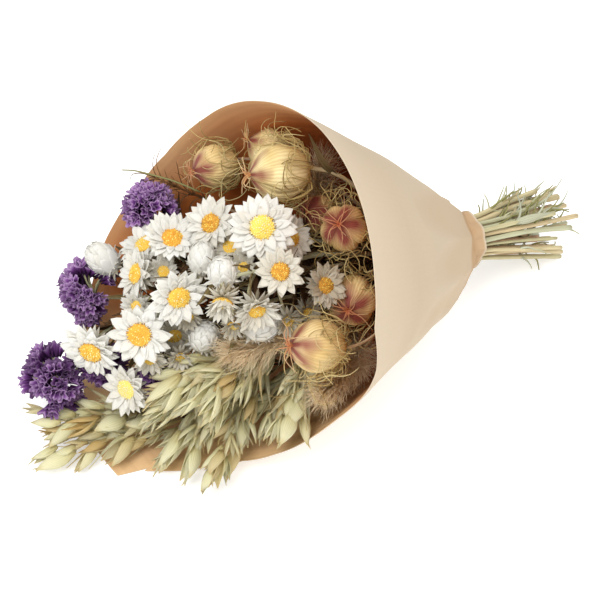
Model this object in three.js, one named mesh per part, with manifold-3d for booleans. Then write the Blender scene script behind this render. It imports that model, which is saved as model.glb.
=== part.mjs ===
// A dried flower bouquet rolled in a cone of kraft paper, lying on its side. Millimetres, +Z up.
// The cut stems point along +X and the flower heads along -X. The paper's lower rim rests on the
// surface z = 0, where it is a little flattened, and the lowest stem ends come down to a millimetre
// from it. The origin is the middle of the bouquet at that height.
// Each flower is one solid, from its head to the cut end of its stem. A daisy's yellow disc is a
// solid of its own, and so are the string and the paper.
import * as THREE from "three";
import { mergeVertices } from "three/addons/utils/BufferGeometryUtils.js";
import Module from "manifold-3d";

const wasm = await Module();
wasm.setup();

const V = (x, y, z) => new THREE.Vector3(x, y, z);
const rad = THREE.MathUtils.degToRad;
const lerp = THREE.MathUtils.lerp;

// The binding: where the stems are tied, and the way the cone opens from there.
const NECK = V(84, -9, 48.3);
const OPENING_RISE = 20;
const OPENING_HEADING = 177.9;

// Stems: all about as thick at the binding, where they stand side by side.
const STEM_RADIUS = 1.45;
const STEM_PITCH = 3.3;
const STEM_SIDES = 3;
const STRAIGHT_AT_NECK = 13;
const TAIL_LENGTH = [50, 82];
const TAIL_SPREAD = 1.75;
const TAIL_SAG = 2;
const CLEARANCE = 0.35;

// The string round the stems, just inside the paper.
const TIE_FROM_NECK = 7.5;
const TIE_WIDTH = 5;
const TIE_RADII = [13.2, 14.6];

// The paper: its wall, and the gap where it laps. Behind the cone it is pinched in round the stems,
// and ends in a short collar.
const PAPER = 0.8;
const LAP_GAP = 0.5;
const COLLAR = { along: -10, radius: 15 };
const PINCH = { along: -4, radius: 13.5 };
// The cone's radius beside the binding, and how fast it widens. One side is flatter.
const CONE_RADIUS = 24.5;
const FLARE = 0.525;
const FLAT_SIDE = { angle: 66, spread: 60, depth: 0.11 };
// The cone ends in a slanting shoulder, further forward on one side, where a corner stands out.
const SHOULDER = { along: 3, slant: 5, angle: 48 };
// The hand that gathered it squeezed the neck from one side, which fades along the cone.
const SQUEEZE = { angle: 135, depth: 11, bulge: 2.5, fade: 75 };
// The rim: how far along the axis it lies at each angle round it, from straight down.
const RIM = [
  [1, 175], [10, 154], [19, 140], [30, 132], [45, 127], [62, 125], [77, 124], [88, 130],
  [101, 138], [118, 153], [131, 150], [150, 141], [181, 130], [212, 126], [240, 129],
  [262, 135], [275, 142], [293, 156], [322, 174], [347, 187], [358, 186],
];
// The sheet's two side edges slant under and over each other towards the neck.
const LAP_AT_NECK = 60;
const SHEET_COLUMNS = 34;
const SHEET_STATIONS = [0, 0.22, 0.45, 0.66, 0.83, 0.93, 1];

// The bouquet's display face looks up and to the side, at whoever holds it out. Flowers are laid
// out on it: across to the right, up, and out towards the viewer, who stands FACE_DISTANCE away.
const FACE_TURN = -37.5;
const FACE_TILT = 48;
const FACE_CENTRE = NECK.clone().add(V(-119.5, -13.6, 49.1));
const FACE_DISTANCE = 1100;

// Directions worked out from the angles above.
const AXIS = V(
  Math.cos(rad(OPENING_RISE)) * Math.cos(rad(OPENING_HEADING)),
  Math.cos(rad(OPENING_RISE)) * Math.sin(rad(OPENING_HEADING)),
  Math.sin(rad(OPENING_RISE)),
);
const DOWN = V(0, 0, -1).addScaledVector(AXIS, AXIS.z).normalize();
const SIDE = AXIS.clone().cross(DOWN);
const FACE_OUT = V(
  Math.sin(rad(FACE_TURN)) * Math.cos(rad(FACE_TILT)),
  -Math.cos(rad(FACE_TURN)) * Math.cos(rad(FACE_TILT)),
  Math.sin(rad(FACE_TILT)),
);
const FACE_RIGHT = V(Math.cos(rad(FACE_TURN)), Math.sin(rad(FACE_TURN)), 0);
const FACE_UP = FACE_OUT.clone().cross(FACE_RIGHT);

// A place on the display face. Things further out are drawn in a little, as the eye sees them.
function facePoint(across, up, out) {
  const k = 1 - out / FACE_DISTANCE;
  return FACE_CENTRE.clone()
    .addScaledVector(FACE_RIGHT, across * k)
    .addScaledVector(FACE_UP, up * k)
    .addScaledVector(FACE_OUT, out);
}

// A direction: turned to the right and nodding up, in degrees, from straight at the viewer.
function faceDirection(turn, nod) {
  return V(0, 0, 0)
    .addScaledVector(FACE_RIGHT, Math.sin(rad(turn)) * Math.cos(rad(nod)))
    .addScaledVector(FACE_UP, Math.sin(rad(nod)))
    .addScaledVector(FACE_OUT, Math.cos(rad(turn)) * Math.cos(rad(nod)));
}

// A flower laid on the display face, with the way it looks and its size in mm.
function laid(across, up, out, turn, nod, size) {
  return { centre: facePoint(across, up, out), way: faceDirection(turn, nod), size };
}

// Everlasting daisies: size is the reach of the petals.
const DAISIES = [
  laid(-102, -27, -20, -22, -38, 16.5),
  laid(-78, -19, -4, -8, -14, 17),
  laid(-59, 0, 12, 18, -26, 16),
  laid(-75, 25, -30, -30, 40, 15),
  laid(-62, 28, -10, 6, 28, 15.6),
  laid(-79, 11, -12, -52, 8, 14.5),
  laid(-42, 36, -2, -24, 12, 14.5),
  laid(-17, 34, 22, 4, 8, 17.5),
  laid(-3, 29, 2, 42, 10, 13),
  laid(-8, 12, 32, 6, 4, 13),
  laid(-20, -6, 22, 26, -46, 14),
  laid(-84, -46, -24, -34, -20, 15),
  laid(-61, -19, -26, 10, -30, 12.5),
  laid(14, 5, 4, 30, 6, 12.5),
  laid(-36, -2, 26, -14, -60, 13),
];

// Daisies that are still closed, or closed again as they dried: size is the egg's half width.
const BUDS = [
  laid(-37, 12, 34, -4, -6, 7.2),
  laid(-97, 19, -40, -48, 12, 8),
  laid(-47, 19, 6, 4, 26, 7),
  laid(-46, -20, -12, 12, -14, 8),
  laid(-17, -14, 14, 34, -12, 8.5),
];

// Heads of purple sea lavender: size is the half width of the cluster.
const LAVENDERS = [
  laid(-73, 44, -46, -38, 34, 14.5),
  laid(-104, 1, -52, -48, 8, 15.5),
  laid(-118, -42, -46, -44, -18, 18.5),
  laid(-94, -33, -44, -30, -30, 12),
  laid(-71, -40, -30, -10, -30, 9),
];

// Love-in-a-mist pods: size is the half width of the pod.
const PODS = [
  laid(-9, 62, 2, -66, -6, 14.5),
  laid(-41, 65, -34, -60, -14, 11.5),
  laid(-19, 89, -36, -70, 24, 11),
  laid(24, 34, 4, -14, 6, 12),
  laid(11, 41, -26, -28, 4, 10),
  laid(28, -2, -2, -10, -22, 13),
  laid(10, -25, 20, -58, 2, 13.5),
];

// Oats: where the tip of each spray lies, the way it points, and its length.
const OATS = [
  laid(-116, -77, -40, -80, -14, 68),
  laid(-118, -62, -42, -82, -5, 58),
  laid(-64, -54, -22, -68, -30, 66),
  laid(-60, -79, -34, -60, -50, 62),
  laid(-37, -81, -22, -45, -60, 62),
  laid(-5, -67, -8, -35, -62, 50),
];

// Soft grass plumes: where the tip lies, the way it points, and its length.
const PLUMES = [
  laid(-32, -28, -2, -75, -15, 44),
  laid(14, -49, -6, -40, -35, 40),
  laid(30, -36, -24, 0, -30, 36),
  laid(13, 66, -36, 10, 40, 34),
];

// One stalk of thread-thin curled grass.
const CURLS = [laid(-72, 60, -44, -60, 20, 40)];

// A repeatable random number from 0 to 1.
function seeded(seed) {
  let state = seed * 7919 + 17;
  return () => {
    state = (state * 16807) % 2147483647;
    return state / 2147483647;
  };
}

// Two unit vectors square to a direction.
function squareTo(direction) {
  const hint = Math.abs(direction.z) < 0.9 ? V(0, 0, 1) : V(1, 0, 0);
  const a = hint.cross(direction).normalize();
  return [a, direction.clone().cross(a).normalize()];
}

// A flower's own frame: right, forward and out along the way it looks.
function frameOf({ centre, way }) {
  const [a, b] = squareTo(way);
  return (x, y, z) =>
    centre.clone().addScaledVector(a, x).addScaledVector(b, y).addScaledVector(way, z);
}

const turned = (place) => (radius, angle, height) =>
  place(radius * Math.cos(angle), radius * Math.sin(angle), height);

// A closed solid from a geometry, or from points and triangles.
function solidFrom(geometry) {
  geometry.deleteAttribute("normal");
  geometry.deleteAttribute("uv");
  const merged = mergeVertices(geometry, 1e-4);
  return new wasm.Manifold(
    new wasm.Mesh({
      numProp: 3,
      vertProperties: merged.attributes.position.array,
      triVerts: new Uint32Array(merged.index.array),
    }),
  );
}

function solidOf(points, faces) {
  const geometry = new THREE.BufferGeometry().setFromPoints(points);
  geometry.setIndex(faces.flat());
  return solidFrom(geometry);
}

// A closed skin over a row of rings that run the same way round. A ring of one point is a tip.
function loft(rings) {
  const faces = [];
  const starts = [];
  let count = 0;
  for (const ring of rings) {
    starts.push(count);
    count += ring.length;
  }
  rings.slice(1).forEach((ring, k) => {
    const below = rings[k];
    const a = (i) => starts[k] + (i % below.length);
    const b = (i) => starts[k + 1] + (i % ring.length);
    for (let i = 0; i < Math.max(ring.length, below.length); i++) {
      if (below.length > 1) faces.push([a(i), a(i + 1), b(i)]);
      if (ring.length > 1) faces.push([b(i), a(i + 1), b(i + 1)]);
    }
  });
  const last = starts.at(-1);
  for (let i = 1; i < rings[0].length - 1; i++) faces.push([0, i + 1, i]);
  for (let i = 1; i < rings.at(-1).length - 1; i++) faces.push([last, last + i, last + i + 1]);
  return solidOf(rings.flat(), faces);
}

// A ring of points round a centre. The radius is a number, or a function of the corner's number.
function ring(centre, direction, radius, sides, flatness = 1, twist = 0) {
  const [a, b] = squareTo(direction);
  return Array.from({ length: sides }, (_, i) => {
    const angle = (2 * Math.PI * i) / sides + twist;
    const r = typeof radius === "function" ? radius(i) : radius;
    return centre
      .clone()
      .addScaledVector(a, r * Math.cos(angle))
      .addScaledVector(b, r * flatness * Math.sin(angle));
  });
}

// A rod along points, with a radius for each. A radius of 0 makes a pointed tip.
function rod(path, radii, sides) {
  let [a, b] = [null, null];
  const rings = path.map((p, i) => {
    const next = path[Math.min(i + 1, path.length - 1)];
    const tangent = next.clone().sub(path[Math.max(i - 1, 0)]).normalize();
    if (!a) [a, b] = squareTo(tangent);
    a = a.clone().addScaledVector(tangent, -a.dot(tangent)).normalize();
    b = tangent.clone().cross(a);
    if (radii[i] === 0) return [p.clone()];
    return Array.from({ length: sides }, (_, k) => {
      const angle = (2 * Math.PI * k) / sides;
      return p
        .clone()
        .addScaledVector(a, radii[i] * Math.cos(angle))
        .addScaledVector(b, radii[i] * Math.sin(angle));
    });
  });
  return loft(rings);
}

const fuse = (solids) => wasm.Manifold.union(solids);

// One ring of petals, cut as a star into a thin sheet that arches up to the tips.
// Valleys are where the petals part. A width of 0 makes plain points without shoulders.
function petalRing(place, { count, reach, valley, rise, base, thickness, twist, width }) {
  const polar = turned(place);
  const step = (2 * Math.PI) / count;
  const outline = [];
  for (let i = 0; i < count; i++) {
    const angle = twist + i * step;
    const long = reach * (1 - 0.08 * ((i * 5) % 3));
    const lift = rise * (0.7 + 0.3 * ((i * 2) % 3));
    outline.push([valley, angle - step / 2, base + rise * 0.15]);
    if (width) outline.push([long * 0.68, angle - step * width, base + lift * 0.55]);
    outline.push([long, angle, base + lift]);
    if (width) outline.push([long * 0.68, angle + step * width, base + lift * 0.55]);
  }
  const n = outline.length;
  const corners = width ? 4 : 2;
  const points = [
    ...outline.map(([radius, angle, height]) => polar(radius, angle, height - thickness)),
    ...outline.map(([radius, angle, height]) => polar(radius, angle, height)),
    place(0, 0, base - thickness),
    place(0, 0, base),
  ];
  const faces = [];
  const onBothSides = (a, b, c) => faces.push([n + a, n + b, n + c], [a, c, b]);
  for (let i = 0; i < n; i += corners) {
    const next = (i + corners) % n;
    faces.push([2 * n + 1, n + i, n + next], [2 * n, next, i]);
    if (!width) onBothSides(i, i + 1, next);
    if (!width) continue;
    onBothSides(i, i + 1, i + 2);
    onBothSides(i, i + 2, next);
    onBothSides(next, i + 2, i + 3);
  }
  for (let i = 0; i < n; i++) {
    const j = (i + 1) % n;
    faces.push([i, j, n + j], [i, n + j, n + i]);
  }
  return solidOf(points, faces);
}

// Everlasting daisy: two rings of petals on a papery cup of bracts.
// Slack makes the same shape a little larger, to tell how near its neighbours may come.
const DISC_SHARE = 0.37;
function daisyHead(head, slack = 0) {
  const place = frameOf(head);
  const size = head.size + slack;
  const thickness = 0.8 + 2 * slack;
  const cup = loft([
    ring(place(0, 0, -6.5 - slack), head.way, 1.4, 5),
    ring(place(0, 0, -3), head.way, size * 0.3, 5),
    ring(place(0, 0, -0.4), head.way, size * 0.26, 5),
  ]);
  const outer = petalRing(place, {
    count: 10, reach: size, valley: size * 0.58, rise: size * 0.12,
    base: slack, thickness, twist: head.size, width: 0.44,
  });
  const inner = petalRing(place, {
    count: 6, reach: size * 0.8, valley: size * 0.47, rise: size * 0.3,
    base: 0.5 + slack, thickness, twist: head.size + 0.3, width: 0,
  });
  return fuse([cup, outer, inner]);
}

// The disc of tiny yellow florets, a low dome on the middle of the petals.
const DISC_SEAT = 1.1;
function daisyDisc(head, slack = 0) {
  const place = frameOf(head);
  const base = DISC_SEAT + CLEARANCE - slack;
  const radius = head.size * DISC_SHARE + slack;
  return loft([
    ring(place(0, 0, base), head.way, radius * 0.9, 8),
    ring(place(0, 0, base + 1.5), head.way, radius, 8),
    ring(place(0, 0, base + 3), head.way, radius * 0.7, 8),
    [place(0, 0, base + 3.6 + 2 * slack)],
  ]);
}

// A closed daisy: an egg of petals that lap one over the next, their tips just parting.
function budHead(head, slack = 0) {
  const place = frameOf(head);
  const r = head.size + slack;
  const lapped = (radius) => (i) => radius * (i % 2 ? 0.84 : 1.04);
  return loft([
    ring(place(0, 0, -r * 1.2), head.way, 1.3, 10),
    ring(place(0, 0, -r * 0.8), head.way, lapped(r * 0.72), 10),
    ring(place(0, 0, 0), head.way, lapped(r), 10),
    ring(place(0, 0, r * 0.8), head.way, lapped(r * 0.72), 10),
    ring(place(0, 0, r * 1.25), head.way, lapped(r * 0.3), 10),
    [place(0, 0, r * 1.15)],
  ]);
}

// Sea lavender: a small core that papery funnels stand out of, all over it.
const CORE_SHARE = 0.62;
function lavenderCore(head, slack = 0) {
  const core = new THREE.IcosahedronGeometry(head.size * CORE_SHARE + slack, 0);
  return solidFrom(core.translate(...head.centre));
}
const GOLDEN_TURN = rad(137.5);
function lavenderFunnels(head, random) {
  const r = head.size;
  const count = Math.round(10 + r * 0.8);
  const place = frameOf({ centre: V(0, 0, 0), way: head.way });
  return Array.from({ length: count }, (_, i) => {
    const height = 1 - (1.5 * (i + 0.5)) / count;
    const way = turned(place)(Math.sqrt(1 - height * height), i * GOLDEN_TURN, height);
    const reach = r * lerp(0.84, 1, random());
    const twist = 3 * random();
    const mouth = r * 0.2 + 1;
    const from = (distance) => head.centre.clone().addScaledVector(way, distance);
    return (slack) =>
      loft([
        [from(r * 0.3)],
        ring(from(reach + slack), way, mouth + slack, 4, 1, twist),
        [from(reach - mouth * 0.5)],
      ]);
  });
}

// Love-in-a-mist: a swollen pod of five lobes, with five horns spread at its tip.
const HORNS = 5;
const POD_PROFILE = [[-1.1, 0.3], [-0.7, 0.8], [0, 1], [0.7, 0.68], [1.02, 0.2]];
function podHead(head, slack = 0) {
  const place = frameOf(head);
  const r = head.size + slack;
  const lobed = (radius) => (i) => radius * (i % 2 ? 0.86 : 1);
  const body = loft(
    POD_PROFILE.map(([height, width]) =>
      ring(place(0, 0, r * height), head.way, lobed(r * width), 2 * HORNS),
    ),
  );
  const horns = petalRing(place, {
    count: HORNS, reach: r * 0.66, valley: r * 0.17, rise: r * 0.2,
    base: r * 1.06, thickness: 1.2, twist: 0, width: 0,
  });
  return fuse([body, horns]);
}

// The mist: thread-like bracts that rise from under the pod and curl round it.
const BRACTS = 5;
function podBracts(head, random) {
  const polar = turned(frameOf(head));
  const r = head.size;
  return Array.from({ length: BRACTS }, (_, i) => {
    const angle = (2 * Math.PI * (i + 0.6 * random())) / BRACTS;
    const curl = angle + 0.6 * random();
    const top = r * lerp(0.2, 0.9, random());
    const path = [
      polar(0, angle, -r * 1.05),
      polar(r * 1.1, angle, -r * 0.75),
      polar(r * 1.2, curl, r * 0.1),
      polar(r * 1.05, curl + 0.3, top + r * 0.2),
    ];
    return (slack) => rod(path, [0.7, 0.6 + slack, 0.6 + slack, 0], 3);
  });
}

// Oats: plump pointed spikelets hung on both sides of a nodding stalk.
const SPIKELETS = 13;
const SPIKELET_LENGTH = 23;
function oatSpikelets(head, random) {
  return Array.from({ length: SPIKELETS }, (_, i) => {
    const [root, tangent] = alongSpray(head, (i + 0.2) / SPIKELETS);
    const way = leaning(tangent, 0.5, i * 2.3 + random()).add(V(0, 0, -0.2)).normalize();
    const long = SPIKELET_LENGTH * lerp(0.85, 1.1, random());
    const from = (share) => root.clone().addScaledVector(way, long * share);
    return (slack) =>
      loft([
        [from(0)],
        ring(from(0.28), way, 1.3 + slack, 4),
        ring(from(0.55), way, 3.3 + slack, 4, 0.75),
        [from(1 + slack / long)],
      ]);
  });
}

// Grass plume: a slim core with fine bristles standing out of it all the way.
const BRISTLES = 16;
function plumeBristles(head, random) {
  return Array.from({ length: BRISTLES }, (_, i) => {
    const share = (i + 0.5) / BRISTLES;
    const [root, tangent] = alongSpray(head, share);
    const way = leaning(tangent, 0.6, i * GOLDEN_TURN + random());
    const long = lerp(7, 12, Math.sin(Math.PI * share));
    const tip = root.clone().addScaledVector(way, long);
    return (slack) => rod([root, tip], [0.65 + slack, 0], 3);
  });
}

// Curled grass: threads that leave the stalk and wind away.
const THREADS = 7;
function grassThreads(head, random) {
  return Array.from({ length: THREADS }, (_, i) => {
    const [root, tangent] = alongSpray(head, (i + 0.5) / THREADS);
    const turn = i * GOLDEN_TURN;
    const path = Array.from({ length: 6 }, (_, k) =>
      root
        .clone()
        .addScaledVector(leaning(tangent, 0.5 + 0.12 * k, turn + 0.5 * k * (i % 2 ? 1 : -1)), k * 4.5),
    );
    const radii = path.map((_, k) => (k < 5 ? 0.5 : 0));
    return (slack) => rod(path, radii.map((radius) => radius && radius + slack), 3);
  });
}

// A place on a spray, from its foot at 0 to its tip at 1, and the way the spray runs there.
function alongSpray(head, share) {
  const points = head.path.slice(0, SPRAY_POINTS).reverse();
  const at = Math.min(share * (SPRAY_POINTS - 1), SPRAY_POINTS - 1.001);
  const k = Math.floor(at);
  const tangent = points[k + 1].clone().sub(points[k]).normalize();
  return [points[k].clone().lerp(points[k + 1], at - k), tangent];
}

// A direction that leans out from another by a share, at an angle round it.
function leaning(direction, share, angle) {
  const [a, b] = squareTo(direction);
  return direction
    .clone()
    .addScaledVector(a, share * Math.cos(angle))
    .addScaledVector(b, share * Math.sin(angle))
    .normalize();
}

// How each kind of flower is made. Its head takes up a flat round space for the stems that pass:
// reach across, and from low to high along the way it looks. The stem starts behind the centre.
const KINDS = {
  daisy: {
    heads: DAISIES, color: 0xf3f1ea, head: daisyHead, disc: daisyDisc, top: 1,
    space: { reach: 0.75, low: -0.5, high: 0.45 }, behind: () => 5,
  },
  bud: {
    heads: BUDS, color: 0xf0ecdf, head: budHead, top: 1,
    space: { reach: 1, low: -1.2, high: 1.2 }, behind: (size) => size,
  },
  lavender: {
    heads: LAVENDERS, color: 0x5a3f8f, head: lavenderCore, grown: lavenderFunnels, top: 1.3,
    space: { reach: 0.75, low: -0.7, high: 0.8 }, behind: (size) => size * 0.4,
  },
  pod: {
    heads: PODS, color: 0xcfb06a, head: podHead, grown: podBracts, top: 1.1,
    space: { reach: 1, low: -1.1, high: 1.2 }, behind: (size) => size * 0.95,
  },
  oat: { heads: OATS, color: 0xc3bd8b, grown: oatSpikelets, top: 0.6 },
  plume: { heads: PLUMES, color: 0xbfa489, grown: plumeBristles, top: 1.4 },
  curled_grass: { heads: CURLS, color: 0x9a8256, grown: grassThreads, top: 0.6 },
};
const FLOWERS = Object.entries(KINDS).flatMap(([kind, made]) =>
  made.heads.map((head, i) => {
    const name = made.heads.length > 1 ? `${kind}_${String(i + 1).padStart(2, "0")}` : kind;
    return Object.assign(head, { name, made, seed: i });
  }),
);
const SPRAY_POINTS = 5;
const FREE_POINTS = 3;

// How much of a rounded hump centred on one angle round the axis there is at another.
function hump(angle, centre, spread) {
  const off = THREE.MathUtils.euclideanModulo(angle - centre + 180, 360) - 180;
  return Math.abs(off) < spread ? Math.cos((Math.PI / 2) * (off / spread)) ** 2 : 0;
}

// How far along the axis the cone's shoulder lies at an angle.
function shoulderAlong(angle) {
  return SHOULDER.along + SHOULDER.slant * Math.cos(rad(angle - SHOULDER.angle));
}

// The paper's radius at a place along the axis and an angle round it, in degrees from straight down.
function paperRadius(along, angle) {
  const flare = FLARE - FLAT_SIDE.depth * hump(angle, FLAT_SIDE.angle, FLAT_SIDE.spread);
  const shoulder = shoulderAlong(angle);
  const inward = SQUEEZE.bulge - SQUEEZE.depth * Math.cos(rad(angle - SQUEEZE.angle)) ** 2;
  const cone = (x) => CONE_RADIUS + x * flare + inward * Math.max(0, 1 - x / SQUEEZE.fade);
  if (along >= shoulder) return cone(along);
  if (along >= PINCH.along) {
    const share = (along - PINCH.along) / (shoulder - PINCH.along);
    return lerp(PINCH.radius, cone(shoulder), share);
  }
  const share = (PINCH.along - along) / (PINCH.along - COLLAR.along);
  return lerp(PINCH.radius, COLLAR.radius, Math.min(1, share));
}

// How far along the axis the rim lies at an angle.
function rimAlong(angle) {
  const i = Math.max(1, RIM.findIndex(([a]) => a >= angle));
  const [[a0, r0], [a1, r1]] = [RIM[i - 1], RIM[i]];
  return lerp(r0, r1, THREE.MathUtils.clamp((angle - a0) / (a1 - a0), 0, 1));
}

// A point beside the axis: along it from the binding, and out at an angle from straight down.
function aroundAxis(along, radius, angle) {
  return NECK.clone()
    .addScaledVector(AXIS, along)
    .addScaledVector(DOWN, radius * Math.cos(rad(angle)))
    .addScaledVector(SIDE, radius * Math.sin(rad(angle)));
}

// The same the other way: where a point lies beside the axis.
function besideAxis(point) {
  const from = point.clone().sub(NECK);
  const [down, side] = [from.dot(DOWN), from.dot(SIDE)];
  const angle = THREE.MathUtils.euclideanModulo(THREE.MathUtils.radToDeg(Math.atan2(side, down)), 360);
  return { along: from.dot(AXIS), radius: Math.hypot(down, side), angle };
}

// One sheet of paper, rolled once round with its side edges lapped, flat where it lies on the surface.
function paperSheet() {
  const [first, last] = [RIM[0][0], RIM.at(-1)[0]];
  const stations = [COLLAR.along, PINCH.along, ...SHEET_STATIONS];
  const corner = (column, station, thickness) => {
    const share = column / SHEET_COLUMNS;
    const back = 1 - Math.max(0, station);
    const rimAngle = lerp(first, last, share);
    const angle = rimAngle + (share - 0.5) * LAP_AT_NECK * back;
    const along = station < 0 ? station : lerp(shoulderAlong(angle), rimAlong(rimAngle), station);
    const lap = ((angle - first) / 360) * (PAPER + LAP_GAP);
    const point = aroundAxis(along, paperRadius(along, angle) + lap + thickness, angle);
    const onLap = THREE.MathUtils.clamp((first + 12 - angle) / 6, 0, 1) * (PAPER + LAP_GAP);
    point.z = Math.max(point.z, onLap + PAPER - thickness);
    return point;
  };
  const rows = stations.length;
  const skin = (thickness) => {
    const points = [];
    for (let c = 0; c <= SHEET_COLUMNS; c++)
      for (const station of stations) points.push(corner(c, station, thickness));
    return points;
  };
  const points = [...skin(0), ...skin(PAPER)];
  const outer = points.length / 2;
  const at = (c, r) => c * rows + r;
  const faces = [];
  const quad = (a, b, c, d) => faces.push([a, b, c], [a, c, d]);
  for (let c = 0; c < SHEET_COLUMNS; c++) {
    for (let r = 0; r < rows - 1; r++) {
      const [p, q, s, t] = [at(c, r), at(c + 1, r), at(c + 1, r + 1), at(c, r + 1)];
      quad(t, s, q, p);
      quad(outer + p, outer + q, outer + s, outer + t);
    }
    quad(at(c, 0), at(c + 1, 0), outer + at(c + 1, 0), outer + at(c, 0));
    const end = rows - 1;
    quad(outer + at(c, end), outer + at(c + 1, end), at(c + 1, end), at(c, end));
  }
  for (let r = 0; r < rows - 1; r++) {
    const edge = SHEET_COLUMNS;
    quad(at(0, r), outer + at(0, r), outer + at(0, r + 1), at(0, r + 1));
    quad(outer + at(edge, r), at(edge, r), at(edge, r + 1), outer + at(edge, r + 1));
  }
  return solidOf(points, faces);
}

// Something in place, with the box round it. Two such things cross when they share some space.
const inPlace = (owner, solid) => ({ owner, solid, box: solid.boundingBox() });
function crosses(a, b) {
  for (let k = 0; k < 3; k++)
    if (a.box.min[k] > b.box.max[k] || b.box.min[k] > a.box.max[k]) return false;
  return !a.solid.intersect(b.solid).isEmpty();
}

// Heads that would cross are drawn apart along the line of sight, and in from the paper.
const SETTLE_STEP = 0.6;
const SETTLE_ROUNDS = 90;
function settleHeads(heads, paper) {
  const spaceOf = (head) => {
    const { made } = head;
    const solids = [made.head(head, CLEARANCE)];
    if (made.disc) solids.push(made.disc(head, CLEARANCE));
    return inPlace(head, fuse(solids));
  };
  const spaces = new Map(heads.map((head) => [head, spaceOf(head)]));
  for (let round = 0; round < SETTLE_ROUNDS; round++) {
    const moved = new Set();
    const shift = (head, way, distance) => {
      head.centre.addScaledVector(way, distance);
      moved.add(head);
    };
    heads.forEach((a, i) => {
      for (const b of heads.slice(i + 1)) {
        if (!crosses(spaces.get(a), spaces.get(b))) continue;
        const nearer = a.centre.dot(FACE_OUT) > b.centre.dot(FACE_OUT);
        shift(nearer ? a : b, FACE_OUT, SETTLE_STEP * 0.6);
        shift(nearer ? b : a, FACE_OUT, -SETTLE_STEP * 0.4);
      }
      if (!crosses(spaces.get(a), paper)) return;
      const { along } = besideAxis(a.centre);
      const inward = aroundAxis(along, 0, 0).sub(a.centre).normalize();
      shift(a, inward, SETTLE_STEP);
    });
    if (!moved.size) return;
    for (const head of moved) spaces.set(head, spaceOf(head));
  }
}

// Stem slots at the binding: the nearest points of a six-sided pattern, from the middle outwards.
function bindingSlots(count) {
  const slots = [];
  for (let i = -6; i <= 6; i++)
    for (let j = -6; j <= 6; j++) {
      const down = STEM_PITCH * (i + j / 2);
      const side = STEM_PITCH * j * Math.sqrt(0.75);
      slots.push({ down, side, radius: Math.hypot(down, side) });
    }
  return slots.sort((a, b) => a.radius - b.radius).slice(0, count);
}

// A point at the binding, or along from it, by its distance down and to the side.
function atSlot(along, down, side) {
  return aroundAxis(along, 0, 0).addScaledVector(DOWN, down).addScaledVector(SIDE, side);
}

// Each stem takes the free slot nearest the straight line to its flower, the widest first. Its path
// runs from the tip or the underside of the head, through the binding, to the cut end behind.
function routeStems() {
  const free = bindingSlots(FLOWERS.length);
  const reach = free.at(-1).radius;
  const seen = FLOWERS.map((head) => {
    const spray = !head.made.head;
    const behind = spray ? head.size : head.made.behind(head.size);
    const start = head.centre.clone().addScaledVector(head.way, -behind);
    const knee = start.clone().addScaledVector(head.way, -7);
    const from = knee.clone().sub(NECK);
    const along = from.dot(AXIS);
    return { head, spray, start, knee, down: from.dot(DOWN) / along, side: from.dot(SIDE) / along };
  });
  const width = ({ down, side }) => Math.hypot(down, side);
  seen.sort((a, b) => width(b) - width(a));
  const widest = width(seen[0]);
  for (const { head, spray, start, knee, down, side } of seen) {
    const [wantDown, wantSide] = [(down / widest) * reach, (side / widest) * reach];
    const miss = (slot) => Math.hypot(slot.down - wantDown, slot.side - wantSide);
    free.sort((a, b) => miss(a) - miss(b));
    const slot = free.shift();
    const through = atSlot(STRAIGHT_AT_NECK, slot.down, slot.side);
    const lean = through.distanceTo(knee) * 0.35;
    const bend = new THREE.CubicBezierCurve3(
      knee,
      knee.clone().addScaledVector(head.way, -lean * 0.6),
      through.clone().addScaledVector(AXIS, lean),
      through,
    );
    const fromTip = (share) => head.centre.clone().lerp(start, share);
    const lead = spray
      ? Array.from({ length: SPRAY_POINTS }, (_, k) => fromTip(k / (SPRAY_POINTS - 1)))
      : [start];
    const lowest = slot.down > 0.85 * reach;
    const chance = seeded(Math.round(miss(slot) * 97) + head.seed)();
    const length = lerp(...TAIL_LENGTH, lowest ? 1 : chance);
    const end = atSlot(-length, slot.down * TAIL_SPREAD + TAIL_SAG, slot.side * TAIL_SPREAD);
    end.z = Math.max(end.z, STEM_RADIUS);
    head.path = [
      ...lead,
      ...bend.getPoints(FREE_POINTS + 1),
      atSlot(-STRAIGHT_AT_NECK, slot.down, slot.side),
      end,
    ];
    head.firstFree = spray ? 1 : 2;
    head.lastFree = lead.length + FREE_POINTS;
  }
}

// The shortest way between two straight stretches, and how far along each it lies.
function shortestWay(p, q, r, s) {
  const [d1, d2, w] = [q.clone().sub(p), s.clone().sub(r), p.clone().sub(r)];
  const [a, b, c, d, e] = [d1.dot(d1), d1.dot(d2), d2.dot(d2), d1.dot(w), d2.dot(w)];
  const clamp = (x) => Math.min(1, Math.max(0, x));
  const spread = a * c - b * b;
  let t = spread > 1e-9 ? clamp((b * e - c * d) / spread) : 0.5;
  const u = clamp((b * t + e) / c);
  t = clamp((b * u - d) / a);
  const gap = p.clone().addScaledVector(d1, t).sub(r.clone().addScaledVector(d2, u));
  return { t, u, gap };
}

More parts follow.
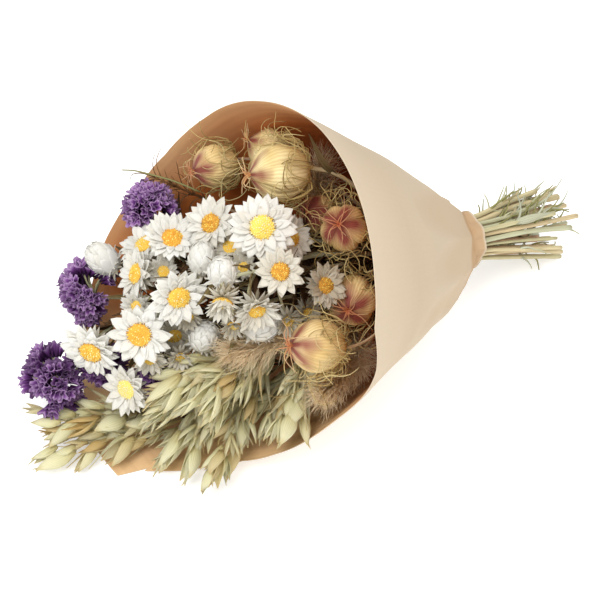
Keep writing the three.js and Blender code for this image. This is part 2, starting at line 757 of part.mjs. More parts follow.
// Stems that would cross are bent clear of each other, of the heads that they pass, and of the paper.
const EASE_ROUNDS = 300;
function easeStems() {
  const apart = 2 * STEM_RADIUS + CLEARANCE;
  const push = (head, k, share, gap, amount) => {
    const free = (n) => n >= head.firstFree && n <= head.lastFree;
    if (free(k)) head.path[k].addScaledVector(gap, amount * (1 - share));
    if (free(k + 1)) head.path[k + 1].addScaledVector(gap, amount * share);
  };
  for (let round = 0; round < EASE_ROUNDS; round++) {
    FLOWERS.forEach((one, i) => {
      for (const two of FLOWERS.slice(i + 1))
        for (let m = 0; m <= one.lastFree; m++)
          for (let n = 0; n <= two.lastFree; n++) {
            const [p, q, r, s] = [one.path[m], one.path[m + 1], two.path[n], two.path[n + 1]];
            if (p.distanceTo(r) > p.distanceTo(q) + r.distanceTo(s) + apart) continue;
            const { t, u, gap } = shortestWay(p, q, r, s);
            const distance = gap.length();
            if (distance > apart || distance < 1e-6) continue;
            gap.multiplyScalar(1 / distance);
            push(one, m, t, gap, (apart - distance) * 0.6);
            push(two, n, u, gap, (distance - apart) * 0.6);
          }
      for (const other of FLOWERS)
        if (other !== one && other.made.head)
          for (let m = 0; m <= one.lastFree; m++) clearOfHead(one, m, other, push);
      for (let k = one.firstFree; k <= one.lastFree; k++) withinPaper(one.path[k]);
    });
  }
}

function clearOfHead(stem, m, head, push) {
  const { reach, low, high } = head.made.space;
  const margin = STEM_RADIUS + CLEARANCE;
  for (const t of [0, 0.25, 0.5, 0.75, 1]) {
    const from = stem.path[m].clone().lerp(stem.path[m + 1], t).sub(head.centre);
    const height = from.dot(head.way);
    if (height < head.size * low - margin || height > head.size * high + margin) continue;
    const flat = from.addScaledVector(head.way, -height);
    const distance = flat.length();
    const want = head.size * reach + margin;
    if (distance >= want || distance < 1e-6) continue;
    push(stem, m, t, flat.multiplyScalar(1 / distance), (want - distance) * 0.3);
  }
}

function withinPaper(point) {
  const { along, radius, angle } = besideAxis(point);
  const most = paperRadius(along, angle) - STEM_RADIUS - 4 * CLEARANCE;
  if (along > rimAlong(angle) + 5 || radius <= most) return;
  point.copy(aroundAxis(along, most, angle));
}

// A flower's stem, a little thinner towards the head, with slack all round it.
function stemOf(head, slack = 0) {
  const thick = head.path.length - 4;
  const radius = (k) => lerp(head.made.top, STEM_RADIUS, Math.min(1, k / thick)) + slack;
  return rod(head.path, head.path.map((_, k) => radius(k)), STEM_SIDES);
}

// The string: a plain band round the stems.
function string() {
  const [inner, outer] = TIE_RADII;
  const half = TIE_WIDTH / 2;
  const section = [[inner, -half], [outer, -half], [outer, half], [inner, half], [inner, -half]];
  const band = new THREE.LatheGeometry(section.map(([x, y]) => new THREE.Vector2(x, y)), 16);
  band.applyQuaternion(new THREE.Quaternion().setFromUnitVectors(V(0, 1, 0), AXIS));
  band.translate(...aroundAxis(TIE_FROM_NECK, 0, 0));
  return solidFrom(band);
}

const group = new THREE.Group();

// Puts a finished solid in the group, under its name and in its colour. A scrap cut loose is dropped.
function add(name, solid, color, roughness = 0.85) {
  const bodies = solid.decompose();
  const whole = bodies.reduce((best, body) => (body.volume() > best.volume() ? body : best));
  const mesh = whole.getMesh();
  const corners = new Float32Array(mesh.numVert * 3);
  for (let i = 0; i < mesh.numVert; i++)
    corners.set(mesh.vertProperties.subarray(i * mesh.numProp, i * mesh.numProp + 3), i * 3);
  const geometry = new THREE.BufferGeometry();
  geometry.setAttribute("position", new THREE.BufferAttribute(corners, 3));
  geometry.setIndex(new THREE.BufferAttribute(mesh.triVerts, 1));
  geometry.computeVertexNormals();
  const material = new THREE.MeshStandardMaterial({ color, roughness, metalness: 0 });
  const piece = new THREE.Mesh(geometry, material);
  piece.name = name;
  group.add(piece);
}

const paper = inPlace(null, paperSheet());
const headed = FLOWERS.filter((flower) => flower.made.head);
settleHeads(headed, paper);
routeStems();
easeStems();

// Heads part where a neighbour's stem still passes through them.
const placed = [paper];
const stems = FLOWERS.map((head) => inPlace(head, stemOf(head)));
placed.push(...stems);
const passing = FLOWERS.map((head) => inPlace(head, stemOf(head, CLEARANCE)));
const bodies = new Map();
for (const head of headed) {
  let body = inPlace(head, head.made.head(head));
  for (const stem of passing)
    if (stem.owner !== head && crosses(body, stem))
      body = inPlace(head, body.solid.subtract(stem.solid));
  bodies.set(head, body.solid);
  placed.push(body);
  if (head.made.disc) placed.push(inPlace(head, head.made.disc(head)));
}

// What is small and grows on a flower only grows where there is room for it.
for (const [i, flower] of FLOWERS.entries()) {
  const solids = [stems[i].solid];
  if (flower.made.head) solids.push(bodies.get(flower));
  const shoots = flower.made.grown?.(flower, seeded(flower.seed + 5)) ?? [];
  for (const shoot of shoots) {
    const wanted = inPlace(flower, shoot(CLEARANCE));
    if (placed.some((other) => other.owner !== flower && crosses(wanted, other))) continue;
    const grown = inPlace(flower, shoot(0));
    placed.push(grown);
    solids.push(grown.solid);
  }
  add(flower.name, fuse(solids), flower.made.color);
  if (flower.made.disc) add(`${flower.name}_disc`, flower.made.disc(flower), 0xe0a520);
}
add("stem_string", string(), 0xb79a63);
add("paper_wrap", paper.solid, 0xd9bd95, 0.8);

export default group;
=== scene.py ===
# %% [markdown]
# # A dried flower bouquet in kraft paper
#
# The bouquet lies on its side: white everlasting daisies, purple sea lavender, love-in-a-mist
# pods, oats and soft grasses, with their stems tied together and a sheet of kraft paper rolled
# round them in a cone. The packed model already holds every flower at its place, as a plain
# solid. This script makes the fine petals, husks, threads and paper around those places.
#
# First comes where each flower sits, then the small forms that repeat, such as a petal or a
# husk, then the flowers planted from many copies of them, and at the end the paper and the light.

import math
import random

import bpy
import numpy as np
from mathutils import Matrix, Vector


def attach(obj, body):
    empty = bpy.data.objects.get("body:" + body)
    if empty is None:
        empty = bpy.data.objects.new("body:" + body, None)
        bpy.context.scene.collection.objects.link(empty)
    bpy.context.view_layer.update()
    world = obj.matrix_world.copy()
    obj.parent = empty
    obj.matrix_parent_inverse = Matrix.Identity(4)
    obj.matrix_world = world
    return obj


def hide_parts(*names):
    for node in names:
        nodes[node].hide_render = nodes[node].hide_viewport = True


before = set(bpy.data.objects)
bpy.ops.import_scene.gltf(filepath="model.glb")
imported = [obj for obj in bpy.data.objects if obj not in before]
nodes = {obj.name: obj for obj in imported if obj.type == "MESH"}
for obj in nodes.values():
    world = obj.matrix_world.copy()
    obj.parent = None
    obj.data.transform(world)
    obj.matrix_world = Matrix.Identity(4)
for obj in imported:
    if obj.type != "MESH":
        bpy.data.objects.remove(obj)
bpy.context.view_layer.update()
MM = 0.001
print("the frame holds", len(nodes), "nodes")

# %% [markdown]
# ## Where things are
#
# The neck is where the stems are tied. The cone of paper opens from there, upwards and away from
# the stems. The flowers face whoever holds the bouquet out, so a second set of directions belongs
# to that display face: to the right, up, and out towards the viewer. Both could be worked out by
# hand for each flower, but named once here they keep all the pieces in one frame.

# %% The neck, the cone and the display face
NECK = Vector((84, -9, 48.3)) * MM
OPENING_RISE = math.radians(20)
OPENING_HEADING = math.radians(177.9)
FACE_TURN = math.radians(-37.5)
FACE_TILT = math.radians(48)
FACE_CENTRE = NECK + Vector((-119.5, -13.6, 49.1)) * MM
FACE_DISTANCE = 1100 * MM

AXIS = Vector(
    (
        math.cos(OPENING_RISE) * math.cos(OPENING_HEADING),
        math.cos(OPENING_RISE) * math.sin(OPENING_HEADING),
        math.sin(OPENING_RISE),
    )
)
DOWN = (Vector((0, 0, -1)) + AXIS * AXIS.z).normalized()
SIDE = AXIS.cross(DOWN)
FACE_OUT = Vector(
    (
        math.sin(FACE_TURN) * math.cos(FACE_TILT),
        -math.cos(FACE_TURN) * math.cos(FACE_TILT),
        math.sin(FACE_TILT),
    )
)
FACE_RIGHT = Vector((math.cos(FACE_TURN), math.sin(FACE_TURN), 0))
FACE_UP = FACE_OUT.cross(FACE_RIGHT)
print("the cone opens along", AXIS[:], "and the flowers face", FACE_OUT[:])

# %% [markdown]
# Petals, threads and leaves all need directions that stray from another one. A leaning direction
# is built from two unit vectors square to the first, and a random angle between none and a full
# turn picks the side that it leans to.


# %% Directions round a direction
ANY_SIDE = (0, 6.3)


def square_to(way):
    """Two unit vectors square to a direction."""
    hint = Vector((0, 0, 1)) if abs(way.z) < 0.9 else Vector((1, 0, 0))
    first = hint.cross(way).normalized()
    return first, way.cross(first).normalized()


def face_way(turn, nod):
    """The way a flower looks: turned to the right and nodding up, in degrees, from the viewer."""
    turn, nod = math.radians(turn), math.radians(nod)
    flat = FACE_RIGHT * math.sin(turn) + FACE_OUT * math.cos(turn)
    return flat * math.cos(nod) + FACE_UP * math.sin(nod)


def on_face(across, up, out):
    """A place on the display face, in mm. What stands further out is drawn in, as the eye sees it."""
    drawn_in = 1 - out * MM / FACE_DISTANCE
    return FACE_CENTRE + (FACE_RIGHT * across * drawn_in + FACE_UP * up * drawn_in + FACE_OUT * out) * MM


def leaning(way, share, angle):
    """A direction that leans out from another by a share, at an angle round it."""
    first, second = square_to(way)
    return (way + share * (first * math.cos(angle) + second * math.sin(angle))).normalized()


def pose(centre, way, spin=0.0, size=1.0):
    """The matrix that sets a form at a centre, with its +Z along a way, and turns and sizes it."""
    first, second = square_to(way)
    turned = Matrix((first, second, way)).transposed().to_4x4()
    return Matrix.Translation(centre) @ turned @ Matrix.Rotation(spin, 4, "Z") @ Matrix.Scale(size, 4)


print("a flower that nods up by 30 degrees looks along", face_way(0, 30)[:])

# %% [markdown]
# Each flower in the frame is one solid whose stem is a three-sided rod. Starting from the cut
# end, the rings of three corners can be followed towards the head, which gives the stem's route
# exactly, with nothing typed in twice.

# %% Follow a stem through its solid
ROUTE_RINGS = 7
STEM_SIDES = 3


def stem_route(node):
    """The middle line of a node's stem, from the cut end to the knee behind its head."""
    mesh = nodes[node].data
    corners, number, index = [], {}, []
    for vertex in mesh.vertices:
        key = tuple(round(c, 6) for c in vertex.co)
        if key not in number:
            number[key] = len(corners)
            corners.append(vertex.co.copy())
        index.append(number[key])
    near = [set() for _ in corners]
    for face in mesh.polygons:
        around = [index[i] for i in face.vertices]
        for i in around:
            near[i].update(around)
    ring = set(sorted(range(len(corners)), key=lambda i: corners[i].dot(AXIS))[:STEM_SIDES])
    seen, route = set(ring), []
    while len(ring) == STEM_SIDES and len(route) < ROUTE_RINGS:
        route.append(sum((corners[i] for i in ring), Vector()) / STEM_SIDES)
        ring = set().union(*(near[i] for i in ring)) - seen
        seen |= ring
    return route


routes = {n: stem_route(n) for n in nodes if n.split("_")[-1] not in ("disc", "string", "wrap")}
print(len(routes), "stems, each with", {len(r) for r in routes.values()}, "points")

# %% [markdown]
# The daisies' yellow discs are solids of their own. Their flat underside is the largest flat face
# they have: it shows which way the flower looks and how big it is. Each head also gets a random
# source of its own, seeded with its name, so that one flower can change and the others stay.

# %% Read the daisies from their discs
DISC_SHARE = 0.37
UNDERSIDE_SHARE = 0.9
DISC_SEAT = 1.45 * MM


class Head:
    """A flower's head: its centre, the way it looks and its size in metres."""

    def __init__(self, name, centre, way, size):
        self.name, self.centre, self.way, self.size = name, centre, way, size
        self.random = random.Random(name)

    def pose(self, spin=0.0, size=None):
        """The matrix that sets a form of unit size onto this head."""
        return pose(self.centre, self.way, spin, self.size if size is None else size)


def daisy_head(name):
    """A daisy's head, read from the flat underside of its disc."""
    mesh = nodes[name + "_disc"].data
    flats = {}
    for face in mesh.polygons:
        key = tuple(round(c, 2) for c in face.normal)
        flats.setdefault(key, []).append(face)
    under = max(flats.values(), key=lambda faces: sum(f.area for f in faces))
    rim = {tuple(round(c, 6) for c in mesh.vertices[i].co) for f in under for i in f.vertices}
    rim = [Vector(corner) for corner in rim]
    middle = sum(rim, Vector()) / len(rim)
    way = -under[0].normal
    size = (rim[0] - middle).length / UNDERSIDE_SHARE / DISC_SHARE
    return Head(name, middle - way * DISC_SEAT, way.normalized(), size)


daisies = [daisy_head(f"daisy_{i:02d}") for i in range(1, 16)]
print("daisy sizes in mm:", [round(head.size / MM, 1) for head in daisies])

# %% [markdown]
# A closed daisy or a pod is round, so its solid doesn't say which way it looks. Each row here
# gives a head's turn to the right and its nod up, in degrees, and its size in mm. Its place
# follows from the knee of its stem.

# %% The other heads
KNEE = 7 * MM
BUDS = [(-4, -6, 7.2), (-48, 12, 8), (4, 26, 7), (12, -14, 8), (34, -12, 8.5)]
LAVENDERS = [(-38, 34, 14.5), (-48, 8, 15.5), (-44, -18, 18.5), (-30, -30, 12), (-10, -30, 9)]
PODS = [(-66, -6, 14.5), (-60, -14, 11.5), (-70, 24, 11), (-14, 6, 12), (-28, 4, 10)]
PODS += [(-10, -22, 13), (-58, 2, 13.5)]
OATS = [(-80, -14, 68), (-82, -5, 58), (-68, -30, 66), (-60, -50, 62), (-45, -60, 62), (-35, -62, 50)]
PLUMES = [(-75, -15, 44), (-40, -35, 40), (0, -30, 36), (10, 40, 34)]
CURL = (-60, 20, 40)


def heads_of(kind, table, behind):
    """Heads whose centre lies a known distance past the knee of the stem, along the way it looks."""
    heads = []
    for i, (turn, nod, size) in enumerate(table, 1):
        name = f"{kind}_{i:02d}" if len(table) > 1 else kind
        way = face_way(turn, nod)
        centre = routes[name][-1] + way * (behind(size * MM) + KNEE)
        heads.append(Head(name, centre, way, size * MM))
    return heads


buds = heads_of("bud", BUDS, lambda size: size)
lavenders = heads_of("lavender", LAVENDERS, lambda size: size * 0.4)
pods = heads_of("pod", PODS, lambda size: size * 0.95)
oats = heads_of("oat", OATS, lambda size: size)
plumes = heads_of("plume", PLUMES, lambda size: size)
curled_grass = heads_of("curled_grass", [CURL], lambda size: size)[0]
print("the largest pod sits at", pods[0].centre[:])

# %% [markdown]
# ## The shape of the cone
#
# The rim of the paper is higher on some sides than on others, and comes to a point under the
# oats. It is listed at 21 angles round the axis, with its distance from the neck in mm, and what
# lies between them follows straight.

# %% The rim
RIM_ANGLES = [1, 10, 19, 30, 45, 62, 77, 88, 101, 118, 131]
RIM_ANGLES += [150, 181, 212, 240, 262, 275, 293, 322, 347, 358]
RIM_ALONGS = [175, 154, 140, 132, 127, 125, 124, 130, 138, 153, 150]
RIM_ALONGS += [141, 130, 126, 129, 135, 142, 156, 174, 187, 186]


def rim_along(angle):
    """How far along the axis the rim lies at an angle."""
    return float(np.interp(angle, RIM_ANGLES, RIM_ALONGS)) * MM


print("the rim lies", min(RIM_ALONGS), "to", max(RIM_ALONGS), "mm from the neck")

# %% [markdown]
# Below the rim, the paper is a cone whose radius depends on how far along the axis and at which
# angle round it a point lies: it is flattened on one side and squeezed near the neck, and behind
# the neck comes a short collar. A cone primitive could be scaled and pushed into this shape, but
# threads and leaves need it too, to stay within the paper, so it is written down as a radius.

# %% The radius of the cone
PAPER = 0.8 * MM
LAP_GAP = 0.5 * MM
COLLAR_ALONG, COLLAR_RADIUS = -10 * MM, 15 * MM
PINCH_ALONG, PINCH_RADIUS = -4 * MM, 13.5 * MM
CONE_RADIUS = 24.5 * MM
FLARE = 0.525
FLAT_ANGLE, FLAT_SPREAD, FLAT_DEPTH = 66, 60, 0.11
SHOULDER_ALONG, SHOULDER_SLANT, SHOULDER_ANGLE = 3 * MM, 5 * MM, 48
SQUEEZE_ANGLE, SQUEEZE_DEPTH, SQUEEZE_BULGE, SQUEEZE_FADE = 135, 11 * MM, 2.5 * MM, 75 * MM


def cosine(degrees):
    """The cosine of an angle in degrees."""
    return math.cos(math.radians(degrees))


def shoulder_along(angle):
    """Where the cone starts to narrow to its neck, which slants a little."""
    return SHOULDER_ALONG + SHOULDER_SLANT * cosine(angle - SHOULDER_ANGLE)


def cone_radius(along, angle):
    """The cone's radius, flatter on one side and squeezed at the neck, at an angle in degrees."""
    off = (angle - FLAT_ANGLE + 180) % 360 - 180
    flattened = cosine(90 * off / FLAT_SPREAD) ** 2 if abs(off) < FLAT_SPREAD else 0
    inward = SQUEEZE_BULGE - SQUEEZE_DEPTH * cosine(angle - SQUEEZE_ANGLE) ** 2
    flare = FLARE - FLAT_DEPTH * flattened
    return CONE_RADIUS + along * flare + inward * max(0, 1 - along / SQUEEZE_FADE)


def paper_radius(along, angle):
    """The same with the shoulder, the pinch and the collar behind it."""
    shoulder = shoulder_along(angle)
    if along >= shoulder:
        return cone_radius(along, angle)
    if along >= PINCH_ALONG:
        share = (along - PINCH_ALONG) / (shoulder - PINCH_ALONG)
        return PINCH_RADIUS + (cone_radius(shoulder, angle) - PINCH_RADIUS) * share
    share = (PINCH_ALONG - along) / (PINCH_ALONG - COLLAR_ALONG)
    return PINCH_RADIUS + (COLLAR_RADIUS - PINCH_RADIUS) * share


print("100 mm from the neck the radius is", round(cone_radius(100 * MM, 180) / MM), "mm")

# %% [markdown]
# A place is tested against the paper by turning it into a distance along the axis, a radius and
# an angle. What lies past the rim is free, as the flowers stand out of the cone there.

# %% Inside or outside the paper
PAST_RIM = 5 * MM


def within_paper(point, margin=2 * MM):
    """Whether a point lies inside the cone, or beyond its rim."""
    beside = point - NECK
    along = beside.dot(AXIS)
    angle = math.degrees(math.atan2(beside.dot(SIDE), beside.dot(DOWN))) % 360
    radius = (beside - AXIS * along).length
    return along > rim_along(angle) + PAST_RIM or radius < cone_radius(along, angle) - margin


print("daisies within the paper:", sum(within_paper(head.centre) for head in daisies))

# %% [markdown]
# ## Small forms, made once
#
# A petal, a husk or a floret is modelled once, finished with its modifiers, and kept as plain
# arrays of corners and faces. A flower is then planted from many copies, each turned, sized and
# tinted a little differently, because no two dried petals are alike. Blender could duplicate and
# join thousands of objects instead, but moving arrays does the same in seconds.


# %% A form that can be copied
def clear_selection():
    """Deselects everything, since an operator acts on all that is selected."""
    bpy.ops.object.select_all(action="DESELECT")


def finish_with(piece, kind, **settings):
    """Adds a modifier to a piece and applies it."""
    bpy.context.view_layer.objects.active = piece
    bpy.ops.object.modifier_add(type=kind)
    modifier = piece.modifiers[-1]
    for setting, value in settings.items():
        setattr(modifier, setting, value)
    bpy.ops.object.modifier_apply(modifier=modifier.name)


class Form:
    """A small shape as arrays: its corners, its faces' corner numbers and lengths, and its UVs."""

    def __init__(self, points, loops, lengths, uv):
        self.points, self.loops, self.lengths, self.uv = points, loops, lengths, uv

    @classmethod
    def taken_from(cls, piece):
        """The form of a modelled piece, which is removed from the scene."""
        mesh = piece.data
        points = np.array([v.co for v in mesh.vertices])
        loops = np.array([loop.vertex_index for loop in mesh.loops])
        lengths = np.array([face.loop_total for face in mesh.polygons])
        uv = np.array([d.uv for d in mesh.uv_layers.active.data])
        bpy.data.objects.remove(piece)
        return cls(points, loops, lengths, uv)

    def moved(self, matrix):
        """A copy of the form, carried by a matrix."""
        matrix = np.array(matrix)
        points = self.points @ matrix[:3, :3].T + matrix[:3, 3]
        return Form(points, self.loops, self.lengths, self.uv)


# %% [markdown]
# Planting joins the copies into one mesh. Each copy's tint is stored on its points, so that one
# material can colour copies differently, such as greyer petals or riper pods. Every piece rides
# on the bouquet's one body, gets its material, and hides the plain solids that it replaces.


# %% Planting copies as one piece
def plant(name, finish, copies, replaced=()):
    """Joins copies, each a form, its matrix and its tint, into one piece of the bouquet."""
    placed = [(form.moved(matrix) if matrix else form, tint) for form, matrix, tint in copies]
    starts = np.cumsum([0] + [len(form.points) for form, _ in placed])
    points = np.concatenate([form.points for form, _ in placed]).astype(np.float32)
    loops = np.concatenate([form.loops + start for (form, _), start in zip(placed, starts)])
    lengths = np.concatenate([form.lengths for form, _ in placed])
    uvs = np.concatenate([form.uv for form, _ in placed]).astype(np.float32)
    tints = np.concatenate([np.full(len(form.points), tint, np.float32) for form, tint in placed])
    mesh = bpy.data.meshes.new(name)
    mesh.vertices.add(len(points))
    mesh.vertices.foreach_set("co", points.ravel())
    mesh.loops.add(len(loops))
    mesh.loops.foreach_set("vertex_index", loops.astype(np.int32))
    mesh.polygons.add(len(lengths))
    mesh.polygons.foreach_set("loop_start", (np.cumsum(lengths) - lengths).astype(np.int32))
    mesh.polygons.foreach_set("use_smooth", np.ones(len(lengths), bool))
    mesh.update(calc_edges=True)
    mesh.uv_layers.new(name="UVMap").data.foreach_set("uv", uvs.ravel())
    mesh.attributes.new("tint", "FLOAT", "POINT").data.foreach_set("value", tints)
    mesh.materials.append(finish)
    piece = bpy.data.objects.new(name, mesh)
    bpy.context.scene.collection.objects.link(piece)
    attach(piece, "root")
    if replaced:
        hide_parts(*replaced)
    return piece


def triangles(*pieces):
    """How many triangles some pieces have together."""
    return sum(len(face.vertices) - 2 for piece in pieces for face in piece.data.polygons)


print("the plain solids have", triangles(*nodes.values()), "triangles")

# %% [markdown]
# Petals, leaves and husks all start as a flat grid. The grid's own UV map says how far along and
# across the blade a point lies, so the fine ribs can follow the shape later. A cup turns the
# edges up, a lift bends the whole blade, and a thin wall closes it. The wall is thicker than a
# real petal, because a sheet without one would vanish edge on.


# %% A blade
NARROWEST = 0.006


def blade(width, lift, cup, cuts=(4, 6), wall=0.014):
    """A blade one unit long, along +Y, facing +Z. Width and lift are functions of the share along."""
    clear_selection()
    bpy.ops.mesh.primitive_grid_add(x_subdivisions=cuts[0], y_subdivisions=cuts[1], size=1)
    piece = bpy.context.object
    for vertex in piece.data.vertices:
        across, along = 2 * vertex.co.x, vertex.co.y + 0.5
        half = max(width(along) / 2, NARROWEST)
        vertex.co = (across * half, along, lift(along) + cup * half * across**2)
    finish_with(piece, "SOLIDIFY", thickness=wall, offset=0)
    return Form.taken_from(piece)


def tapered(widest, at, foot, sharp):
    """A width that swells from its foot to the widest place and then runs out in a point."""

    def width(along):
        if along < at:
            return widest * (foot + (1 - foot) * math.sin(math.pi / 2 * along / at))
        return widest * (1 - ((along - at) / (1 - at)) ** sharp)

    return width


example = tapered(0.5, 0.45, 0.5, 2.0)
print("a petal's width from foot to tip:", [round(example(k / 5), 2) for k in range(6)])

# %% [markdown]
# Four petals and two bracts are enough for all the flowers: each copy is turned and sized anew.
# Some lie flat, some cup, and one curls back at its tip, as dried petals do.

# %% Petals and bracts
petals = [
    blade(tapered(0.50, 0.45, 0.5, 2.0), lambda t: 0.06 * math.sin(2.5 * t), 0.14),
    blade(tapered(0.46, 0.50, 0.5, 2.1), lambda t: 0.14 * t * t, 0.24),
    blade(tapered(0.52, 0.42, 0.5, 1.8), lambda t: 0.09 * math.sin(3.1 * t), 0.08),
    blade(tapered(0.42, 0.50, 0.5, 2.2), lambda t: 0.12 * t - 0.16 * t * t, 0.3),
]
bracts = [
    blade(tapered(0.30, 0.40, 0.6, 1.6), lambda t: 0.10 * math.sin(2.6 * t), 0.3, (2, 5)),
    blade(tapered(0.26, 0.50, 0.6, 1.7), lambda t: -0.15 * t * t, 0.3, (2, 5)),
]
print("a petal has", len(petals[0].lengths), "faces and a bract", len(bracts[0].lengths))

# %% [markdown]
# The disc of a daisy is a low dome packed with tiny florets. A floret is a small upright barrel,
# narrowed at its top: a cylinder whose upper corners are drawn in. Five sides are enough for
# something half a millimetre wide.

# %% A disc floret
clear_selection()
bpy.ops.mesh.primitive_cylinder_add(vertices=5, radius=0.5, depth=1, end_fill_type="NGON")
piece = bpy.context.object
for vertex in piece.data.vertices:
    vertex.select = vertex.co.z > 0.4
bpy.ops.object.mode_set(mode="EDIT")
bpy.ops.mesh.select_mode(type="VERT")
bpy.ops.transform.resize(value=(0.7, 0.7, 1))
bpy.ops.object.mode_set(mode="OBJECT")
floret = Form.taken_from(piece)
print("a floret has", len(floret.lengths), "faces")

# %% [markdown]
# Domes, pods and the hearts of closed flowers are turned round an axis from a profile. The spin
# operator does this too, but here the radius also swells and sinks with the angle, for the lobes
# of a pod, so the corners are worked out, and the UV map with them.


# %% A form turned round an axis
def turned_form(profile, sides, swell=lambda angle, height: 1.0):
    """A closed shape turned round +Z from (radius, height) pairs that start and end on the axis."""
    rows = profile[1:-1]
    heights = [height for _, height in profile]
    points = [(0, 0, heights[0])]
    for radius, height in rows:
        for k in range(sides):
            angle = 2 * math.pi * k / sides
            r = radius * swell(angle, height)
            points.append((r * math.cos(angle), r * math.sin(angle), height))
    points.append((0, 0, heights[-1]))
    share = [(h - heights[0]) / (heights[-1] - heights[0]) for h in heights]
    last = len(rows) - 1
    loops, lengths, uv = [], [], []

    def corner(row, column):
        return 1 + row * sides + column % sides

    for k in range(sides):
        u0, u1 = k / sides, (k + 1) / sides
        loops += [0, corner(0, k + 1), corner(0, k)]
        uv += [(u0, share[0]), (u1, share[1]), (u0, share[1])]
        loops += [len(points) - 1, corner(last, k), corner(last, k + 1)]
        uv += [(u0, share[-1]), (u0, share[-2]), (u1, share[-2])]
        lengths += [3, 3]
        for row in range(last):
            low, high = share[row + 1], share[row + 2]
            loops += [corner(row, k), corner(row, k + 1), corner(row + 1, k + 1), corner(row + 1, k)]
            uv += [(u0, low), (u1, low), (u1, high), (u0, high)]
            lengths.append(4)
    return Form(np.array(points, float), np.array(loops), np.array(lengths), np.array(uv, float))


DOME = [(0.0, 0.0), (1.0, 0.0), (1.0, 0.14), (0.88, 0.28), (0.6, 0.38), (0.3, 0.42), (0.0, 0.43)]
dome = turned_form(DOME, 20)
print("the dome of a disc has", len(dome.lengths), "faces")

# %% [markdown]
# Stems, threads, horns and bristles are all tubes along a line, with a radius for each point. A
# curve with a bevel would draw them as well, but there are thousands, so their rings are worked
# out as arrays. A frame is carried along the line without twisting, so a stem's ribs run straight.


# %% A tube along a line
FIRST_HINT = [0.3, 0.5, 0.81]


def tube(path, radii, sides=6, ribs=0.0):
    """A closed tube along points. Ribs is how far every other corner stands out."""
    path = np.array(path, float)
    radii = np.broadcast_to(np.array(radii, float), (len(path),))
    ways = np.gradient(path, axis=0)
    ways /= np.linalg.norm(ways, axis=1, keepdims=True)
    out = np.cross(ways[0], FIRST_HINT)
    rings = []
    k = np.arange(sides)
    angles = 2 * np.pi * k / sides
    wave = 1 + ribs * np.cos(np.pi * k)
    for point, way, radius in zip(path, ways, radii):
        out = out - way * (out @ way)
        out /= np.linalg.norm(out)
        beside = np.cross(way, out)
        ring = np.outer(np.cos(angles) * wave, out) + np.outer(np.sin(angles) * wave, beside)
        rings.append(point + radius * ring)
    count = len(path)
    rows = np.arange(count - 1)[:, None] * sides
    after = (k + 1) % sides
    quads = np.stack([rows + k, rows + after, rows + sides + after, rows + sides + k], -1)
    loops = np.concatenate([quads.reshape(-1), k[::-1], (count - 1) * sides + k])
    lengths = np.array([4] * ((count - 1) * sides) + [sides, sides])
    share = np.linspace(0, 1, count)
    u0, u1 = k / sides, (k + 1) / sides
    low, high = share[:-1, None] + 0 * k, share[1:, None] + 0 * k
    corners = [(u0 + 0 * low, low), (u1 + 0 * low, low), (u1 + 0 * low, high), (u0 + 0 * low, high)]
    uv = np.stack([np.stack(c, -1) for c in corners], 2).reshape(-1, 2)
    caps = [np.stack([u0[::-1], np.zeros(sides)], -1), np.stack([u0, np.ones(sides)], -1)]
    return Form(np.concatenate(rings), loops, lengths, np.concatenate([uv, *caps]))


print("a straight tube has", len(tube([NECK, NECK + AXIS], MM).lengths), "faces")

# %% [markdown]
# Plants have no straight lines or sharp bends. A few points are enough to say where a stem or a
# horn goes, and a spline through them does the rest. A thread wanders: each step turns it a
# little about an axis that itself drifts.


# %% Lines that bend and wander
def smooth(points, steps=5):
    """A smooth line through points, with some steps between each two."""
    points = [points[0] * 2 - points[1], *points, points[-1] * 2 - points[-2]]
    line = []
    for a, b, c, d in zip(points, points[1:], points[2:], points[3:]):
        for i in range(steps):
            t = i / steps
            square = 2 * a - 5 * b + 4 * c - d
            cube = 3 * b - a - 3 * c + d
            line.append(0.5 * (2 * b + (c - a) * t + square * t**2 + cube * t**3))
    return line + [points[-2]]


def thread(start, way, length, curl, chance, steps=8):
    """A line that wanders off in a direction and curls as it goes."""
    path, way = [start.copy()], way.copy()
    axis = leaning(way, 3, chance.uniform(0, 2 * math.pi))
    for _ in range(steps):
        axis = leaning(axis, 0.5, chance.uniform(0, 2 * math.pi))
        way.rotate(Matrix.Rotation(curl * chance.uniform(0.4, 1.3), 3, axis))
        path.append(path[-1] + way * (length / steps))
    return path


print("a smooth line through 3 points has", len(smooth([NECK, NECK + AXIS, NECK + DOWN])), "points")

# %% [markdown]
# ## Finishes
#
# One small class wraps a socket so that shader arithmetic reads as arithmetic. Every finish varies
# over the surface, since dried plants have no plain spots, and a painted texture for each would
# have to be made by hand. Colours are given as they look on a screen.


# %% Shader values
class Value:
    """A number that changes over a surface: one output socket of a shader tree."""

    def __init__(self, tree, socket):
        self.tree, self.socket = tree, socket

    def combined(self, operation, first, second):
        """The value of a math node fed with two values or numbers."""
        node = self.tree.nodes.new("ShaderNodeMath")
        node.operation = operation
        for entry, term in zip(node.inputs, (first, second)):
            if isinstance(term, Value):
                self.tree.links.new(term.socket, entry)
            else:
                entry.default_value = term
        return Value(self.tree, node.outputs[0])

    def __add__(self, other):
        return self.combined("ADD", self, other)

    def __radd__(self, other):
        return self.combined("ADD", other, self)

    def __sub__(self, other):
        return self.combined("SUBTRACT", self, other)

    def __rsub__(self, other):
        return self.combined("SUBTRACT", other, self)

    def __mul__(self, other):
        return self.combined("MULTIPLY", self, other)

    def __rmul__(self, other):
        return self.combined("MULTIPLY", other, self)


